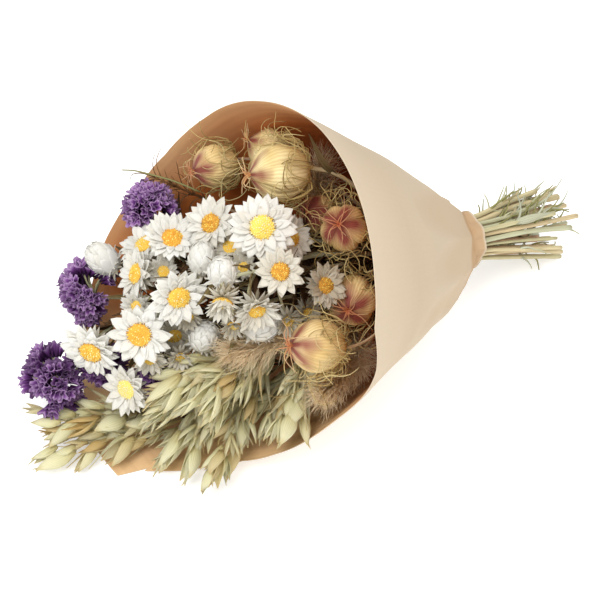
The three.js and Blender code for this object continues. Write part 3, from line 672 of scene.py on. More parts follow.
def tone(red, green, blue):
    """A colour given as it looks on a screen, from 0 to 255, in the linear numbers a shader takes."""
    channels = [c / 255 for c in (red, green, blue)]
    linear = [c / 12.92 if c <= 0.04045 else ((c + 0.055) / 1.055) ** 2.4 for c in channels]
    return (*linear, 1)


print("a middle grey on the screen is", round(tone(128, 128, 128)[0], 3), "in linear numbers")

# %% [markdown]
# A second class collects the nodes of one material. One method adds any node, with its settings
# and the values or links of its sockets, so that a finish is written in a few lines.


# %% A material built node by node
class Nodes:
    """A material whose nodes are added one by one and end in one shader."""

    def __init__(self, name, constants):
        self.material = bpy.data.materials.new(name)
        self.material.use_nodes = True
        self.tree = self.material.node_tree
        self.shader = self.tree.nodes["Principled BSDF"]
        for socket, value in constants.items():
            self.shader.inputs[socket].default_value = value

    def plug(self, value, entry):
        """Links a value to a socket, or sets a constant on it."""
        if isinstance(value, Value):
            self.tree.links.new(value.socket, entry)
        else:
            entry.default_value = value

    def node(self, kind, settings=None, inputs=None, output=0):
        """Adds a node: its settings first, then the values or links of its sockets."""
        node = self.tree.nodes.new("ShaderNode" + kind)
        for setting, value in (settings or {}).items():
            if setting == "stops":
                ramp = node.color_ramp.elements
                while len(ramp) < len(value):
                    ramp.new(1)
                for element, (position, color) in zip(ramp, value):
                    element.position, element.color = position, color
            else:
                setattr(node, setting, value)
        for socket, value in (inputs or {}).items():
            self.plug(value, node.inputs[socket])
        return Value(self.tree, node.outputs[output])

    def mix(self, share, first, second):
        """A colour that goes from the first to the second as the share goes from 0 to 1."""
        return self.node("Mix", {"data_type": "RGBA"}, {0: share, 6: first, 7: second}, output=2)

    def ramp(self, share, *stops):
        """A colour picked from stops, each a position from 0 to 1 and a colour."""
        return self.node("ValToRGB", {"stops": stops}, {0: share})

    def between(self, value, low, high):
        """How far a value is from low to high, held to 0 and 1."""
        limits = {"From Min": low, "From Max": high}
        return self.node("MapRange", {"clamp": True}, {"Value": value, **limits})


print("materials before the first finish:", len(bpy.data.materials))

# %% [markdown]
# Patterns come from three places: the tint of a copy, the piece's own UV map, and noise in space.
# They end in the colour, the roughness and a little relief of the surface. Relief from a bump
# node is enough for veins and fibres; every larger shape is modelled.


# %% Patterns and where they end
class Finish(Nodes):
    """The patterns that a finish is made of, and the parts of the surface that they change."""

    def attribute(self, name):
        """A value that is stored on the points of the mesh."""
        return self.node("Attribute", {"attribute_name": name}, output="Fac")

    def across_and_along(self):
        """The piece's own UV map as two values: across the form, and along it."""
        uv = self.node("UVMap", {"uv_map": "UVMap"})
        parts = self.node("SeparateXYZ", inputs={0: uv})
        return parts, Value(self.tree, parts.socket.node.outputs[1])

    def noise(self, scale, detail=3.0, stretch=(1, 1, 1), place=None):
        """Cloudy blotches in space; the scale is their number in a metre."""
        place = place or self.node("TexCoord", output="Object")
        place = self.node("Mapping", inputs={"Vector": place, "Scale": stretch})
        return self.node("TexNoise", inputs={"Vector": place, "Scale": scale, "Detail": detail})

    def stripes(self, value, count):
        """A value that swings between 0 and 1 as another one runs from 0 to 1."""
        wave = self.node("Math", {"operation": "SINE"}, {0: value * (2 * math.pi * count)})
        return wave * 0.5 + 0.5

    def relief(self, height, depth):
        """Raises the surface by a height between 0 and 1, times a depth in metres."""
        bump = self.node("Bump", inputs={"Height": height, "Strength": 1.0, "Distance": depth})
        self.plug(bump, self.shader.inputs["Normal"])

    def color(self, value):
        """Sets the colour of the surface."""
        self.plug(value, self.shader.inputs["Base Color"])

    def roughness(self, value):
        """Sets how dull the surface is."""
        self.plug(value, self.shader.inputs["Roughness"])

    def let_light_through(self, share, color):
        """Lets some of the light pass through a thin petal or husk."""
        thin = self.node("BsdfTranslucent", inputs={"Color": color})
        solid = Value(self.tree, self.shader.outputs[0])
        both = self.node("MixShader", inputs={0: share, 1: solid, 2: thin})
        self.plug(both, self.tree.nodes["Material Output"].inputs["Surface"])


print("a finish is made with", ", ".join(word for word in vars(Finish) if word[0] != "_"))

# %% [markdown]
# Everlasting petals are dry and papery: bright white, creamy at the foot, with fine ribs along
# them. Light shines through them, so that even the shaded ones stay pale. Some are greyer than
# others: a petal's tint picks its place on a ramp of whites. The ribs are stripes across the UV
# map, as modelled ones would need ten times the faces.


# %% White petals
def white_petal_finish():
    finish = Finish("white_petals", {"Specular IOR Level": 0.3})
    across, along = finish.across_and_along()
    tint = finish.attribute("tint")
    ribs = finish.stripes(across + 0.02 * finish.noise(400), 6)
    white = finish.ramp(
        tint,
        (0.0, tone(248, 248, 245)),
        (0.4, tone(229, 224, 210)),
        (0.7, tone(194, 184, 160)),
        (1.0, tone(152, 132, 94)),
    )
    foot = finish.between(along, 0.35, 0.0)
    blotches = finish.noise(160)
    color = finish.mix(foot * 0.5, white, tone(226, 220, 176))
    finish.color(finish.mix(ribs * 0.05 + blotches * 0.06, color, tone(176, 164, 136)))
    finish.roughness(0.5 + blotches * 0.2)
    finish.relief(ribs + finish.noise(700) * 0.6, 0.05 * MM)
    finish.let_light_through(0.3, tone(252, 249, 238))
    return finish.material


WHITE = white_petal_finish()
print(WHITE.name, "has", len(WHITE.node_tree.nodes), "nodes")


# %% [markdown]
# The disc florets are golden: lemon in young flowers, orange in ripe ones, and olive brown in the
# thin ring where the petals start. One ramp holds them all, and a floret's tint picks from it.


# %% Yellow florets
def floret_finish():
    finish = Finish("yellow_florets", {"Specular IOR Level": 0.2})
    tint = finish.attribute("tint")
    grain = finish.noise(1500)
    gold = finish.ramp(
        tint,
        (0.0, tone(238, 236, 190)),
        (0.25, tone(250, 234, 132)),
        (0.5, tone(248, 212, 92)),
        (0.75, tone(232, 170, 66)),
        (1.0, tone(122, 98, 58)),
    )
    finish.color(finish.mix(grain * 0.25, gold, tone(204, 150, 60)))
    finish.roughness(0.75 + grain * 0.2)
    finish.relief(grain, 0.2 * MM)
    return finish.material


GOLD = floret_finish()
print(GOLD.name, "has", len(GOLD.node_tree.nodes), "nodes")


# %% [markdown]
# Sea lavender keeps its colour: thin purple funnels, pleated, and paler along their frilled edge.
# The ramp follows the UV map from the foot of a funnel to its mouth, and the tint darkens some
# funnels all over, at random and as painted shade on the low heads, which a single purple could not do.


# %% Purple florets
def lavender_finish():
    finish = Finish("purple_florets", {"Specular IOR Level": 0.25})
    across, along = finish.across_and_along()
    tint = finish.attribute("tint")
    veins = finish.stripes(across, 10)
    body = finish.ramp(
        along,
        (0.0, tone(56, 34, 54)),
        (0.35, tone(84, 38, 96)),
        (0.75, tone(132, 76, 150)),
        (1.0, tone(208, 172, 216)),
    )
    # The dark purple is random tone for most funnels, and painted shade for the low heads.
    body = finish.mix(tint * tint * 0.75, body, tone(70, 34, 80))
    finish.color(finish.mix(veins * 0.3, body, tone(86, 46, 104)))
    finish.roughness(0.6 + finish.noise(500) * 0.25)
    finish.relief(veins, 0.12 * MM)
    finish.let_light_through(0.15, tone(140, 90, 170))
    return finish.material


PURPLE = lavender_finish()
print(PURPLE.name, "has", len(PURPLE.node_tree.nodes), "nodes")


# %% [markdown]
# A love-in-a-mist pod is straw-coloured parchment, flushed maroon round its tip and along its
# lobes, with a web of fine veins. Riper pods are redder all over. The flush adds up several
# causes, namely the tip, the lobes, blotches and ripeness, and shows where the sum is high.


# %% Seed pods
def pod_finish():
    finish = Finish("seed_pod", {"Specular IOR Level": 0.35})
    across, along = finish.across_and_along()
    ripe = finish.attribute("tint")
    lobes = finish.stripes(across + 0.02 * finish.noise(60), 5)
    veins = finish.stripes(across + 0.03 * finish.noise(90), 45)
    patches = finish.noise(60, 2)
    straw = finish.ramp(patches, (0.3, tone(244, 228, 176)), (0.7, tone(218, 192, 126)))
    straw = finish.mix(ripe * 0.5, straw, tone(214, 156, 84))
    near_tip = finish.between(along, 0.5, 1.0)
    flushed = near_tip + lobes * 0.3 + patches * 0.8 + ripe * 0.4
    flush = finish.between(flushed, 1.15, 1.6)
    color = finish.mix(flush * 0.95, straw, tone(128, 30, 50))
    finish.color(finish.mix(veins * 0.28, color, tone(164, 128, 68)))
    finish.roughness(0.45 + patches * 0.25)
    finish.relief(veins * 0.5 + finish.noise(260) * 0.8, 0.3 * MM)
    return finish.material


POD = pod_finish()
print(POD.name, "has", len(POD.node_tree.nodes), "nodes")


# %% [markdown]
# Oat husks are thin and shiny, pale straw with a breath of green, and have close lines from foot
# to tip. The green comes in blotches of noise, so that no two husks are quite the same.


# %% Oat husks
def oat_finish():
    finish = Finish("oat_husk", {"Specular IOR Level": 0.35})
    across, along = finish.across_and_along()
    tint = finish.attribute("tint")
    lines = finish.stripes(across, 9)
    body = finish.ramp(
        along,
        (0.0, tone(230, 214, 152)),
        (0.4, tone(243, 240, 200)),
        (0.8, tone(250, 247, 218)),
        (1.0, tone(240, 218, 162)),
    )
    body = finish.mix(finish.between(tint, 0.4, 1.2), body, tone(214, 168, 98))
    green = finish.mix(finish.noise(70, 2) * 0.3, body, tone(206, 206, 146))
    finish.color(finish.mix(lines * 0.28, green, tone(186, 170, 102)))
    finish.roughness(0.45 + finish.noise(300) * 0.25)
    finish.relief(lines, 0.1 * MM)
    finish.let_light_through(0.3, tone(238, 230, 184))
    return finish.material


HUSK = oat_finish()
print(HUSK.name, "has", len(HUSK.node_tree.nodes), "nodes")


# %% [markdown]
# Bristles, threads and stems share one plain way to be coloured: a ramp of dry plant colours, of
# which the tint picks one, darkened in patches.


# %% Threads and stems
def dry_finish(name, stops, mottle, rough=0.7, lines=0, mottled=0.45, sheer=0):
    """Stops are ramp positions with colours on a screen, and mottle is the colour of the patches."""
    finish = Finish(name, {"Specular IOR Level": 0.25})
    across, _ = finish.across_and_along()
    tint = finish.attribute("tint")
    body = finish.ramp(tint, *[(at, tone(*color)) for at, color in stops])
    patches = finish.noise(220, 4, stretch=(0.25, 1, 1))
    color = finish.mix(patches * mottled, body, tone(*mottle))
    height = finish.noise(900)
    if lines:
        ribs = finish.stripes(across, lines)
        color = finish.mix(ribs * 0.25, color, tone(*mottle))
        height = height * 0.5 + ribs
    finish.color(color)
    finish.roughness(rough + patches * 0.2)
    finish.relief(height, 0.12 * MM)
    if sheer:
        finish.let_light_through(sheer, tone(*stops[1][1]))
    return finish.material


STEM_TONES = [(0.0, (200, 206, 184)), (0.3, (200, 200, 158)), (0.55, (228, 210, 166))]
STEM_TONES += [(0.8, (222, 176, 150)), (1.0, (140, 142, 88))]
STEM = dry_finish("stem_straw", STEM_TONES, (134, 118, 84), lines=4)
MIST_TONES = [(0.0, (222, 204, 148)), (0.6, (192, 170, 110)), (1.0, (136, 110, 64))]
MIST = dry_finish("mist_threads", MIST_TONES, (136, 108, 60))
PLUME_TONES = [(0.0, (255, 248, 226)), (0.5, (255, 240, 209)), (1.0, (244, 216, 180))]
PLUME = dry_finish("grass_plume", PLUME_TONES, (222, 195, 152), 0.8, mottled=0.1, sheer=0.5)
BROWN_TONES = [(0.0, (160, 116, 70)), (1.0, (96, 62, 36))]
BROWN = dry_finish("brown_grass", BROWN_TONES, (70, 46, 28))
# The withered leaves and twigs are painted dark browns, partly as shade between the flowers.
LEAF_AND_SHADE_TONES = [(0.0, (132, 116, 72)), (0.5, (96, 68, 40)), (1.0, (58, 34, 18))]
LEAF_AND_SHADE = dry_finish("dry_leaves", LEAF_AND_SHADE_TONES, (66, 46, 30), lines=3)
TWINE_TONES = [(0.0, (186, 154, 100)), (1.0, (160, 126, 78))]
TWINE = dry_finish("jute_string", TWINE_TONES, (120, 92, 56), 0.85, lines=6)
print("dry finishes:", ", ".join(m.name for m in (STEM, MIST, PLUME, BROWN, LEAF_AND_SHADE, TWINE)))

# %% [markdown]
# The horns of a pod have two colourings, a fresh one and a ripe one, and each pod's tint blends
# them. Both run from orange red where the horns leave the pod to pale straw at their tips.


# %% The pods' horns
def horn_finish():
    finish = Finish("pod_horns", {"Specular IOR Level": 0.3})
    _, along = finish.across_and_along()
    ripe = finish.attribute("tint")
    fresh = finish.ramp(
        along,
        (0.0, tone(214, 146, 86)),
        (0.5, tone(206, 164, 112)),
        (1.0, tone(222, 204, 156)),
    )
    old = finish.ramp(
        along,
        (0.0, tone(210, 96, 52)),
        (0.4, tone(178, 98, 74)),
        (1.0, tone(204, 172, 128)),
    )
    patches = finish.noise(400)
    finish.color(finish.mix(patches * 0.3, finish.mix(ripe, fresh, old), tone(140, 84, 58)))
    finish.roughness(0.5 + patches * 0.3)
    finish.relief(patches, 0.1 * MM)
    return finish.material


HORN = horn_finish()
print(HORN.name, "has", len(HORN.node_tree.nodes), "nodes")

# %% [markdown]
# ## Daisies
#
# An everlasting daisy carries its papery petals in several rings. The outer ones lie flat and
# the inner ones stand up round the disc. Under the flower, rings of narrow bracts run down to
# the stem. Old flowers and those that never opened hold their petals up like a brush. Each ring
# has a number of petals, their length, where they start (out and up), and how much they rise in
# degrees. Lengths are shares of the flower's radius.

# %% The petals of a daisy
PETAL_RINGS = [
    (12, 0.85, 0.16, 0.00, 1),
    (12, 0.80, 0.18, 0.03, 6),
    (10, 0.62, 0.22, 0.05, 13),
    (9, 0.36, 0.30, 0.07, 24),
]
OVERLAP = 0.14
NARROWING = 120


def petal_at(head, angle, start, height, rise, roll, scale):
    """The matrix of one petal that starts a little way out from the middle and rises in degrees."""
    return (
        head.pose(angle)
        @ Matrix.Translation((0, start, height))
        @ Matrix.Rotation(math.radians(rise), 4, "X")
        @ Matrix.Rotation(roll, 4, "Y")
        @ Matrix.Diagonal((*scale, 1))
    )


def petals_of(head, closed, grey):
    """The petals of a flower. Closed adds degrees to their rise, and makes them narrower."""
    chance, copies = head.random, []
    for count, length, start, height, lift in PETAL_RINGS:
        offset = chance.uniform(0, 6)
        for k in range(count):
            angle = offset + 2 * math.pi * (k + chance.uniform(-0.14, 0.14)) / count
            rise = lift + closed * chance.uniform(0.75, 1.15) + chance.uniform(-5, 8)
            long = length * chance.uniform(0.88, 1.05)
            wide = long * chance.uniform(0.92, 1.15) * (1 - min(0.45, closed / NARROWING))
            roll = OVERLAP + chance.uniform(-0.12, 0.12)
            matrix = petal_at(head, angle, start, height, rise, roll, (wide, long, long))
            copies.append((chance.choice(petals), matrix, min(1, grey + chance.uniform(0, 0.18))))
    return copies


print("a flower has", sum(ring[0] for ring in PETAL_RINGS), "petals")

# %% [markdown]
# The bracts under a flower are papery scales that turn from cream to brown towards the stem. They
# are planted like the petals, in rings that slope down. Each ring also says how brown it is.

# %% The bracts of a daisy
BRACT_RINGS = [
    (14, 0.62, 0.12, -0.10, -14, 0.2),
    (12, 0.50, 0.10, -0.20, -36, 0.45),
    (10, 0.36, 0.08, -0.34, -58, 0.8),
]


def bracts_of(head, closed, grey):
    """The bracts of a flower, which rise a little as it closes."""
    chance, copies = head.random, []
    for count, length, start, height, lift, brown in BRACT_RINGS:
        for k in range(count):
            angle = 2 * math.pi * (k + chance.uniform(-0.2, 0.2)) / count
            rise = lift + chance.uniform(-10, 10) + closed * 0.3
            long = length * chance.uniform(0.85, 1.15)
            matrix = petal_at(head, angle, start, height, rise, 0, (long, long, long))
            form = chance.choice(bracts)
            copies.append((form, matrix, min(1, brown + grey * 0.5 + chance.uniform(0, 0.15))))
    return copies


def everlasting(head, closed, grey):
    """All the petals and bracts of a flower."""
    return petals_of(head, closed, grey) + bracts_of(head, closed, grey)


print("a flower has", sum(ring[0] for ring in BRACT_RINGS), "bracts")

# %% [markdown]
# The florets of a disc stand in a sunflower spiral: each is turned by the golden angle from the
# last and lies a little further out, which fills the dome evenly. A close ring round the edge
# has the olive brown of florets that have faded.


# %% The disc of florets
DOME_SHARE = DISC_SHARE * 0.92
FLORETS = 90
EDGE_FLORETS = 36
GOLDEN = math.radians(137.5)


def disc_of(head, ripe):
    """A dome of florets in a spiral, with an olive ring round its edge."""
    chance = head.random
    seat = head.pose() @ Matrix.Translation((0, 0, 0.08)) @ Matrix.Scale(DOME_SHARE, 4)
    copies = [(dome, seat, 0.4 + 0.5 * ripe)]
    spots = [(math.sqrt((k + 0.5) / FLORETS), k * GOLDEN) for k in range(FLORETS)]
    spots += [(1.05, 2 * math.pi * k / EDGE_FLORETS) for k in range(EDGE_FLORETS)]
    for share, angle in spots:
        high = 0.10 + 0.13 * math.cos(min(share, 1) * 1.5)
        wide = (0.072 if share < 1 else 0.042) * chance.uniform(0.75, 1.2)
        tall = 0.066 * chance.uniform(0.9, 2.0)
        matrix = (
            head.pose(angle)
            @ Matrix.Translation((0, DOME_SHARE * share, high))
            @ Matrix.Rotation(-share * 0.7, 4, "X")
            @ Matrix.Diagonal((wide, wide, tall, 1))
        )
        tint = 0.06 + 0.66 * ripe + 0.12 * share**3 + chance.choice((-0.3, -0.05, 0.08, 0.2))
        if share > 1:
            tint = chance.uniform(0.85, 1)
        copies.append((floret, matrix, min(1, max(0, tint))))
    return copies


print("a disc has", FLORETS + EDGE_FLORETS, "florets")

# %% [markdown]
# The photo shows fresh flowers with bright petals, greyer ones and half-closed ones. So each
# daisy has a habit: how far its petals close, in degrees, how grey they are and how ripe its
# disc is. Petals and florets are two pieces, because their finishes differ.

# %% Plant the daisies
HABITS = [(0, 0, 0.55), (1, 0, 0.6), (3, 0, 0.45), (4, 0.05, 0.4), (14, 0, 0.75)]
HABITS += [(6, 0.08, 0.5), (8, 0.1, 0.85), (0, 0.03, 0.08), (8, 0.15, 0.7), (2, 0.3, 0.85)]
HABITS += [(26, 0.22, 0.5), (10, 0.1, -0.1), (22, 0.4, 0.45), (12, 0.5, 0.9), (56, 0.25, 0.4)]
daisy_pieces = []
for head, (closed, grey, ripe) in zip(daisies, HABITS):
    flower, disc = everlasting(head, closed, grey), disc_of(head, ripe)
    daisy_pieces.append(plant(head.name + "_petals", WHITE, flower, [head.name]))
    disc_name = head.name + "_disc"
    daisy_pieces.append(plant(head.name + "_florets", GOLD, disc, [disc_name]))
print("daisies:", triangles(*daisy_pieces), "triangles")

# %% [markdown]
# Between the open daisies sit small half-open ones on side shoots: grey-white brushes of petals
# that fill the gaps. They are made like the daisies, only closed further. A row names the stem
# that the shoot forks from, then the flower's place on the display face, its turn and nod, its
# size in mm, how far it is closed and how grey it is.

# %% Half-open flowers on side shoots
SHOOT_LENGTH = 32 * MM
SIDE_SHOOTS = [
    ("daisy_10", (-26, 14, 10), (-10, 10), 9, 30, 0.35),
    ("daisy_11", (-4, -12, 8), (24, -40), 10, 40, 0.5),
    ("daisy_14", (5, -7, 0), (30, -20), 9, 44, 0.55),
    ("daisy_15", (-31, -14, 12), (0, -50), 9, 48, 0.45),
    ("daisy_02", (-73, -31, -14), (10, -40), 10, 24, 0.3),
    ("daisy_03", (-54, -10, -6), (20, -30), 9, 40, 0.4),
    ("daisy_07", (-33, 24, 0), (0, 20), 11, 20, 0.25),
    ("daisy_04", (-66, 12, -16), (-10, 10), 10, 26, 0.2),
    ("daisy_03", (-79, -5, -14), (-30, -14), 10, 22, 0.1),
    ("bud_04", (-31, -10, -2), (10, -50), 9, 50, 0.4),
    ("bud_04", (-58, -30, -16), (6, -44), 9, 36, 0.35),
]
shoot_pieces = []
for i, (host, place, (turn, nod), size, closed, grey) in enumerate(SIDE_SHOOTS, 1):
    head = Head(f"side_shoot_{i:02d}", on_face(*place), face_way(turn, nod), size * MM)
    flower = everlasting(head, closed, grey)
    shoot_pieces.append(plant(head.name + "_petals", WHITE, flower))
    disc = disc_of(head, 0.4)
    shoot_pieces.append(plant(head.name + "_florets", GOLD, disc))
    host_line = smooth(routes[host], 6)
    fork = min(host_line, key=lambda p: abs((p - head.centre).length - SHOOT_LENGTH))
    bend = fork.lerp(head.centre - head.way * 8 * MM, 0.6)
    bow = smooth([fork, bend, head.centre - head.way * 2 * MM], 5)
    twig = (tube(bow, np.linspace(0.8, 0.6, len(bow)) * MM, 6, 0.1), None, 0.4)
    shoot_pieces.append(plant(head.name + "_twig", STEM, [twig]))
print("side shoots:", triangles(*shoot_pieces), "triangles")

# %% [markdown]
# ## Closed daisies
#
# A closed flower is an egg of petals that lap over each other like tiles. Flat petals that only
# stand up would leave it spiky, so a petal is wrapped round an egg of unit size. Some reach the
# top and close it, others end lower and show their points all over the egg.


# %% Wrap a petal round an egg
EGG_TALL = 1.3
EGG_WIDE = 0.88
LOWEST = 80


def egg_petal(half_angle, top, flare):
    """A petal that hugs the egg from its foot up to a height in degrees, and flares at its point."""
    clear_selection()
    bpy.ops.mesh.primitive_grid_add(x_subdivisions=6, y_subdivisions=8, size=1)
    piece = bpy.context.object
    for vertex in piece.data.vertices:
        across, along = 2 * vertex.co.x, vertex.co.y + 0.5
        up = math.radians(-LOWEST + (LOWEST + top) * along)
        half = half_angle * (1 - max(0, (along - 0.5) / 0.5) ** 2 * 0.97)
        radius = math.cos(up) + 0.03 + 0.02 * along + flare * max(0, along - 0.7)
        angle = across * half / max(0.3, math.cos(up))
        across, out = EGG_WIDE * radius * math.sin(angle), EGG_WIDE * radius * math.cos(angle)
        vertex.co = (across, out, EGG_TALL * math.sin(up))
    finish_with(piece, "SOLIDIFY", thickness=0.02, offset=1)
    return Form.taken_from(piece)


EGG_RINGS = [(6, 84, 0, 0.94), (7, 64, 0.04, 0.99), (8, 40, 0.1, 1.03), (8, 14, 0.16, 1.06)]
egg_forms = [egg_petal(0.62, top, flare) for _, top, flare, _ in EGG_RINGS]
print("an egg petal has", len(egg_forms[0].lengths), "faces")

# %% [markdown]
# Each closed flower has four rings of these petals round a solid heart, which hides the gaps
# between them, and a loose skirt of bracts that hangs below. In the photo the closed flowers
# lean back towards the top of the bouquet.

# %% Plant the closed daisies
BUD_LEAN = 38
SKIRT_RINGS = [(16, 1.3, -0.9, 44, 0.05), (16, 1.2, -1.0, 20, 0.15), (14, 0.9, -1.1, -8, 0.4)]
CORE = turned_form([(0, -1.1), (0.5, -0.9), (0.8, 0), (0.52, 0.9), (0.0, 1.24)], 12)
bud_pieces = []
for bud in buds:
    lean = Matrix.Rotation(math.radians(-BUD_LEAN), 3, FACE_RIGHT)
    head = Head(bud.name, bud.centre, lean @ bud.way, bud.size)
    chance = head.random
    copies = [(CORE, head.pose(), 0.1)]
    for (count, _, _, scale), form in zip(EGG_RINGS, egg_forms):
        offset = chance.uniform(0, 6)
        for k in range(count):
            spin = offset + 2 * math.pi * (k + chance.uniform(-0.2, 0.2)) / count
            size = head.size * scale * chance.uniform(0.98, 1.03)
            copies.append((form, head.pose(spin, size), chance.uniform(0, 0.2)))
    for count, length, height, lift, grey in SKIRT_RINGS:
        for k in range(count):
            angle = 2 * math.pi * (k + chance.uniform(-0.3, 0.3)) / count
            long = length * chance.uniform(0.8, 1.1)
            rise = lift + chance.uniform(-12, 12)
            matrix = petal_at(head, angle, 0.15, height, rise, 0, (long, long, long))
            copies.append((chance.choice(bracts), matrix, grey + chance.uniform(0, 0.25)))
    bud_pieces.append(plant(head.name + "_petals", WHITE, copies, [head.name]))
print("buds:", triangles(*bud_pieces), "triangles")

# %% [markdown]
# ## Sea lavender
#
# Sea lavender is a mass of pleated papery funnels. A cloth could be crumpled to get the frill, but
# waves in a formula are surer: a funnel starts as a grid rolled into an open cone, its rim is
# drawn out in a frill, the seam is merged, and a thin wall closes it.


# %% A frilled funnel
def funnel(pleats, frill, mouth):
    """A funnel of unit length; frill says how deep its pleats are, and mouth how wide it opens."""
    clear_selection()
    bpy.ops.mesh.primitive_grid_add(x_subdivisions=3 * pleats, y_subdivisions=2, size=1)
    piece = bpy.context.object
    for vertex in piece.data.vertices:
        turn, along = vertex.co.x + 0.5, vertex.co.y + 0.5
        angle = 2 * math.pi * turn
        fold = -math.cos(pleats * angle)
        radius = 0.06 + mouth * along**1.8 * (1 + frill * along * fold)
        height = along * (1 + 0.14 * along**2 * fold) + 0.05 * math.sin(3 * angle)
        vertex.co = (radius * math.cos(angle), radius * math.sin(angle), height)
    bpy.ops.object.mode_set(mode="EDIT")
    bpy.ops.mesh.select_all(action="SELECT")
    bpy.ops.mesh.remove_doubles(threshold=0.001)
    bpy.ops.object.mode_set(mode="OBJECT")
    finish_with(piece, "SOLIDIFY", thickness=0.022, offset=0)
    return Form.taken_from(piece)


funnels = [funnel(4, 0.34, 0.36), funnel(5, 0.3, 0.44), funnel(4, 0.3, 0.3)]
print("funnels with", [len(form.lengths) for form in funnels], "faces")

# %% [markdown]
# A spike carries its funnels side by side along its outer end, in two close rows. They fan out
# from the middle of the spike, and no two have the same length.

# %% The funnels on a spike
FUNNELS_PER_SPIKE = 12
SPIKE_WIDTH = 9 * MM


def funnels_on(heart, out, row, chance, painted_shade):
    """The funnels of a spike that points out, round its heart and along its row."""
    beside, copies = out.cross(row).normalized(), []
    for k in range(FUNNELS_PER_SPIKE):
        place = (k - (FUNNELS_PER_SPIKE - 1) / 2) / FUNNELS_PER_SPIKE
        way = (out + row * place * 1.7 + beside * chance.uniform(-0.4, 0.4)).normalized()
        long = chance.uniform(4.8, 7.6) * MM
        foot = heart + row * place * SPIKE_WIDTH + beside * (1.2 * MM if k % 2 else -1.2 * MM)
        foot -= out * abs(place) * 4 * MM
        wide = long * chance.uniform(0.8, 1.15)
        matrix = pose(foot, way, chance.uniform(0, 6)) @ Matrix.Diagonal((wide, wide, long, 1))
        copies.append((chance.choice(funnels), matrix, min(1, painted_shade + chance.random())))
    return copies


print("a spike carries", FUNNELS_PER_SPIKE, "funnels")

# %% [markdown]
# Each head is a ball of such spikes. They point all ways in a spiral, and end at four different
# distances from the middle, which makes the head look loose. Heads low in the bouquet are darker
# in the photo, so their funnels are painted darker as shade, and two are a little smaller than
# their solids.

# %% The heads of sea lavender
SPIKES_PER_MM = 1.05
# How much painted shade darkens each head's funnels; the low heads lie in shade.
LOW_HEAD_SHADE = [0, 0.05, 0.4, 0.6, 0.6]
FULLNESS = [0.86, 1, 0.97, 1, 1]
lavender_pieces = []
for head, painted_shade, fullness in zip(lavenders, LOW_HEAD_SHADE, FULLNESS):
    chance = head.random
    copies, branches = [], []
    spikes = int(head.size / MM * SPIKES_PER_MM)
    root = head.centre - head.way * head.size * 0.3
    for s in range(spikes):
        height = 1 - 1.45 * (s + 0.5) / spikes
        side = math.sqrt(1 - height * height)
        first, second = square_to(head.way)
        out = first * side * math.cos(s * GOLDEN) + second * side * math.sin(s * GOLDEN)
        out = (out + head.way * height).normalized()
        out = leaning(out, 0.3, chance.uniform(*ANY_SIDE))
        reach = head.size * fullness * chance.choice((1.2, 1.08, 0.94, 0.74))
        row = leaning(out, 4, chance.uniform(*ANY_SIDE))
        heart = head.centre + out * (reach - 7 * MM)
        copies += funnels_on(heart, out, row, chance, painted_shade)
        line = [root, root.lerp(heart, 0.6) + head.way * MM, heart + out * 2 * MM]
        branches.append((tube(smooth(line, 2), 0.6 * MM, 5), None, 0.3))
    node = [head.name]
    lavender_pieces.append(plant(head.name + "_funnels", PURPLE, copies, node))
    lavender_pieces.append(plant(head.name + "_branches", STEM, branches, node))
print("sea lavender:", triangles(*lavender_pieces), "triangles")

# %% [markdown]
# ## Love-in-a-mist
#
# The pod is a balloon of five lobes with shallow seams between them. It could be sculpted, but a
# profile turned round an axis, its radius drawn in at five angles, gives every pod true seams.

# %% The balloon of a pod
POD_PROFILE = [(0, -1.1), (0.3, -1.1), (0.58, -0.95), (0.8, -0.7), (0.95, -0.36), (1.0, 0.0)]
POD_PROFILE += [(0.97, 0.26), (0.86, 0.5), (0.68, 0.7), (0.45, 0.86), (0.24, 0.98)]
POD_PROFILE += [(0.14, 1.05), (0, 1.06)]


def lobed(angle, height):
    """The share of the profile's radius at an angle round the pod, with a slight unevenness."""
    seam = abs(math.cos(2.5 * angle)) ** 0.35
    return 0.87 + 0.13 * seam + 0.012 * math.sin(9 * angle + 5 * height)


balloon = turned_form(POD_PROFILE, 60, lobed)
print("the balloon of a pod has", len(balloon.lengths), "faces")

# %% [markdown]
# Thin horns, the dried styles of the flower, curve out from the tip of the pod and thin to a
# point. Each is a tube along a smooth line through four points, which stray at random.


# %% The horns of a pod
def round_way(head, angle):
    """A direction out from a head's middle, at an angle round the way it looks."""
    first, second = square_to(head.way)
    return first * math.cos(angle) + second * math.sin(angle)


HORNS = 11


def horns_of(head, ripe):
    """All the horns of a pod; a ripe pod's horns reach further out."""
    chance, r, copies = head.random, head.size, []
    top = head.centre + head.way * r
    for k in range(HORNS):
        side = round_way(head, 2 * math.pi * (k + chance.uniform(-0.3, 0.3)) / HORNS)
        across = round_way(head, 2 * math.pi * k / HORNS + chance.choice((-1.5, 1.5)))
        reach = chance.uniform(0.35, 0.9) * r * (0.8 + 0.5 * ripe)
        bow = [top - head.way * r * 0.05, top + head.way * r * 0.2 + side * reach * 0.2]
        middle = top + head.way * r * chance.uniform(0.1, 0.4) + side * reach * 0.6
        middle += across * reach * 0.2
        tip = top + head.way * r * chance.uniform(-0.1, 0.5)
        tip += (side + across * chance.uniform(0, 0.9)) * reach
        bow += [middle, tip]
        copies.append((tube(smooth(bow, 4), np.linspace(0.036, 0.009, 13) * r, 5), None, ripe))
    return copies


print("a pod has", HORNS, "horns")

# %% [markdown]
# The mist is a nest of threads that rises from under the pod and curls round it. Hair strands
# would draw it too, but they are left out of an exported model, so every thread is a thin tube
# of four sides. It ends where it would pass through the paper.

# %% The mist round a pod
THREADS = 46
SHORTEST_THREAD = 5


def kept_within_paper(line):
    """The part of a line up to where it would pass through the paper."""
    kept = []
    for point in line:
        if not within_paper(point, 1.5 * MM):
            break
        kept.append(point)
    return kept


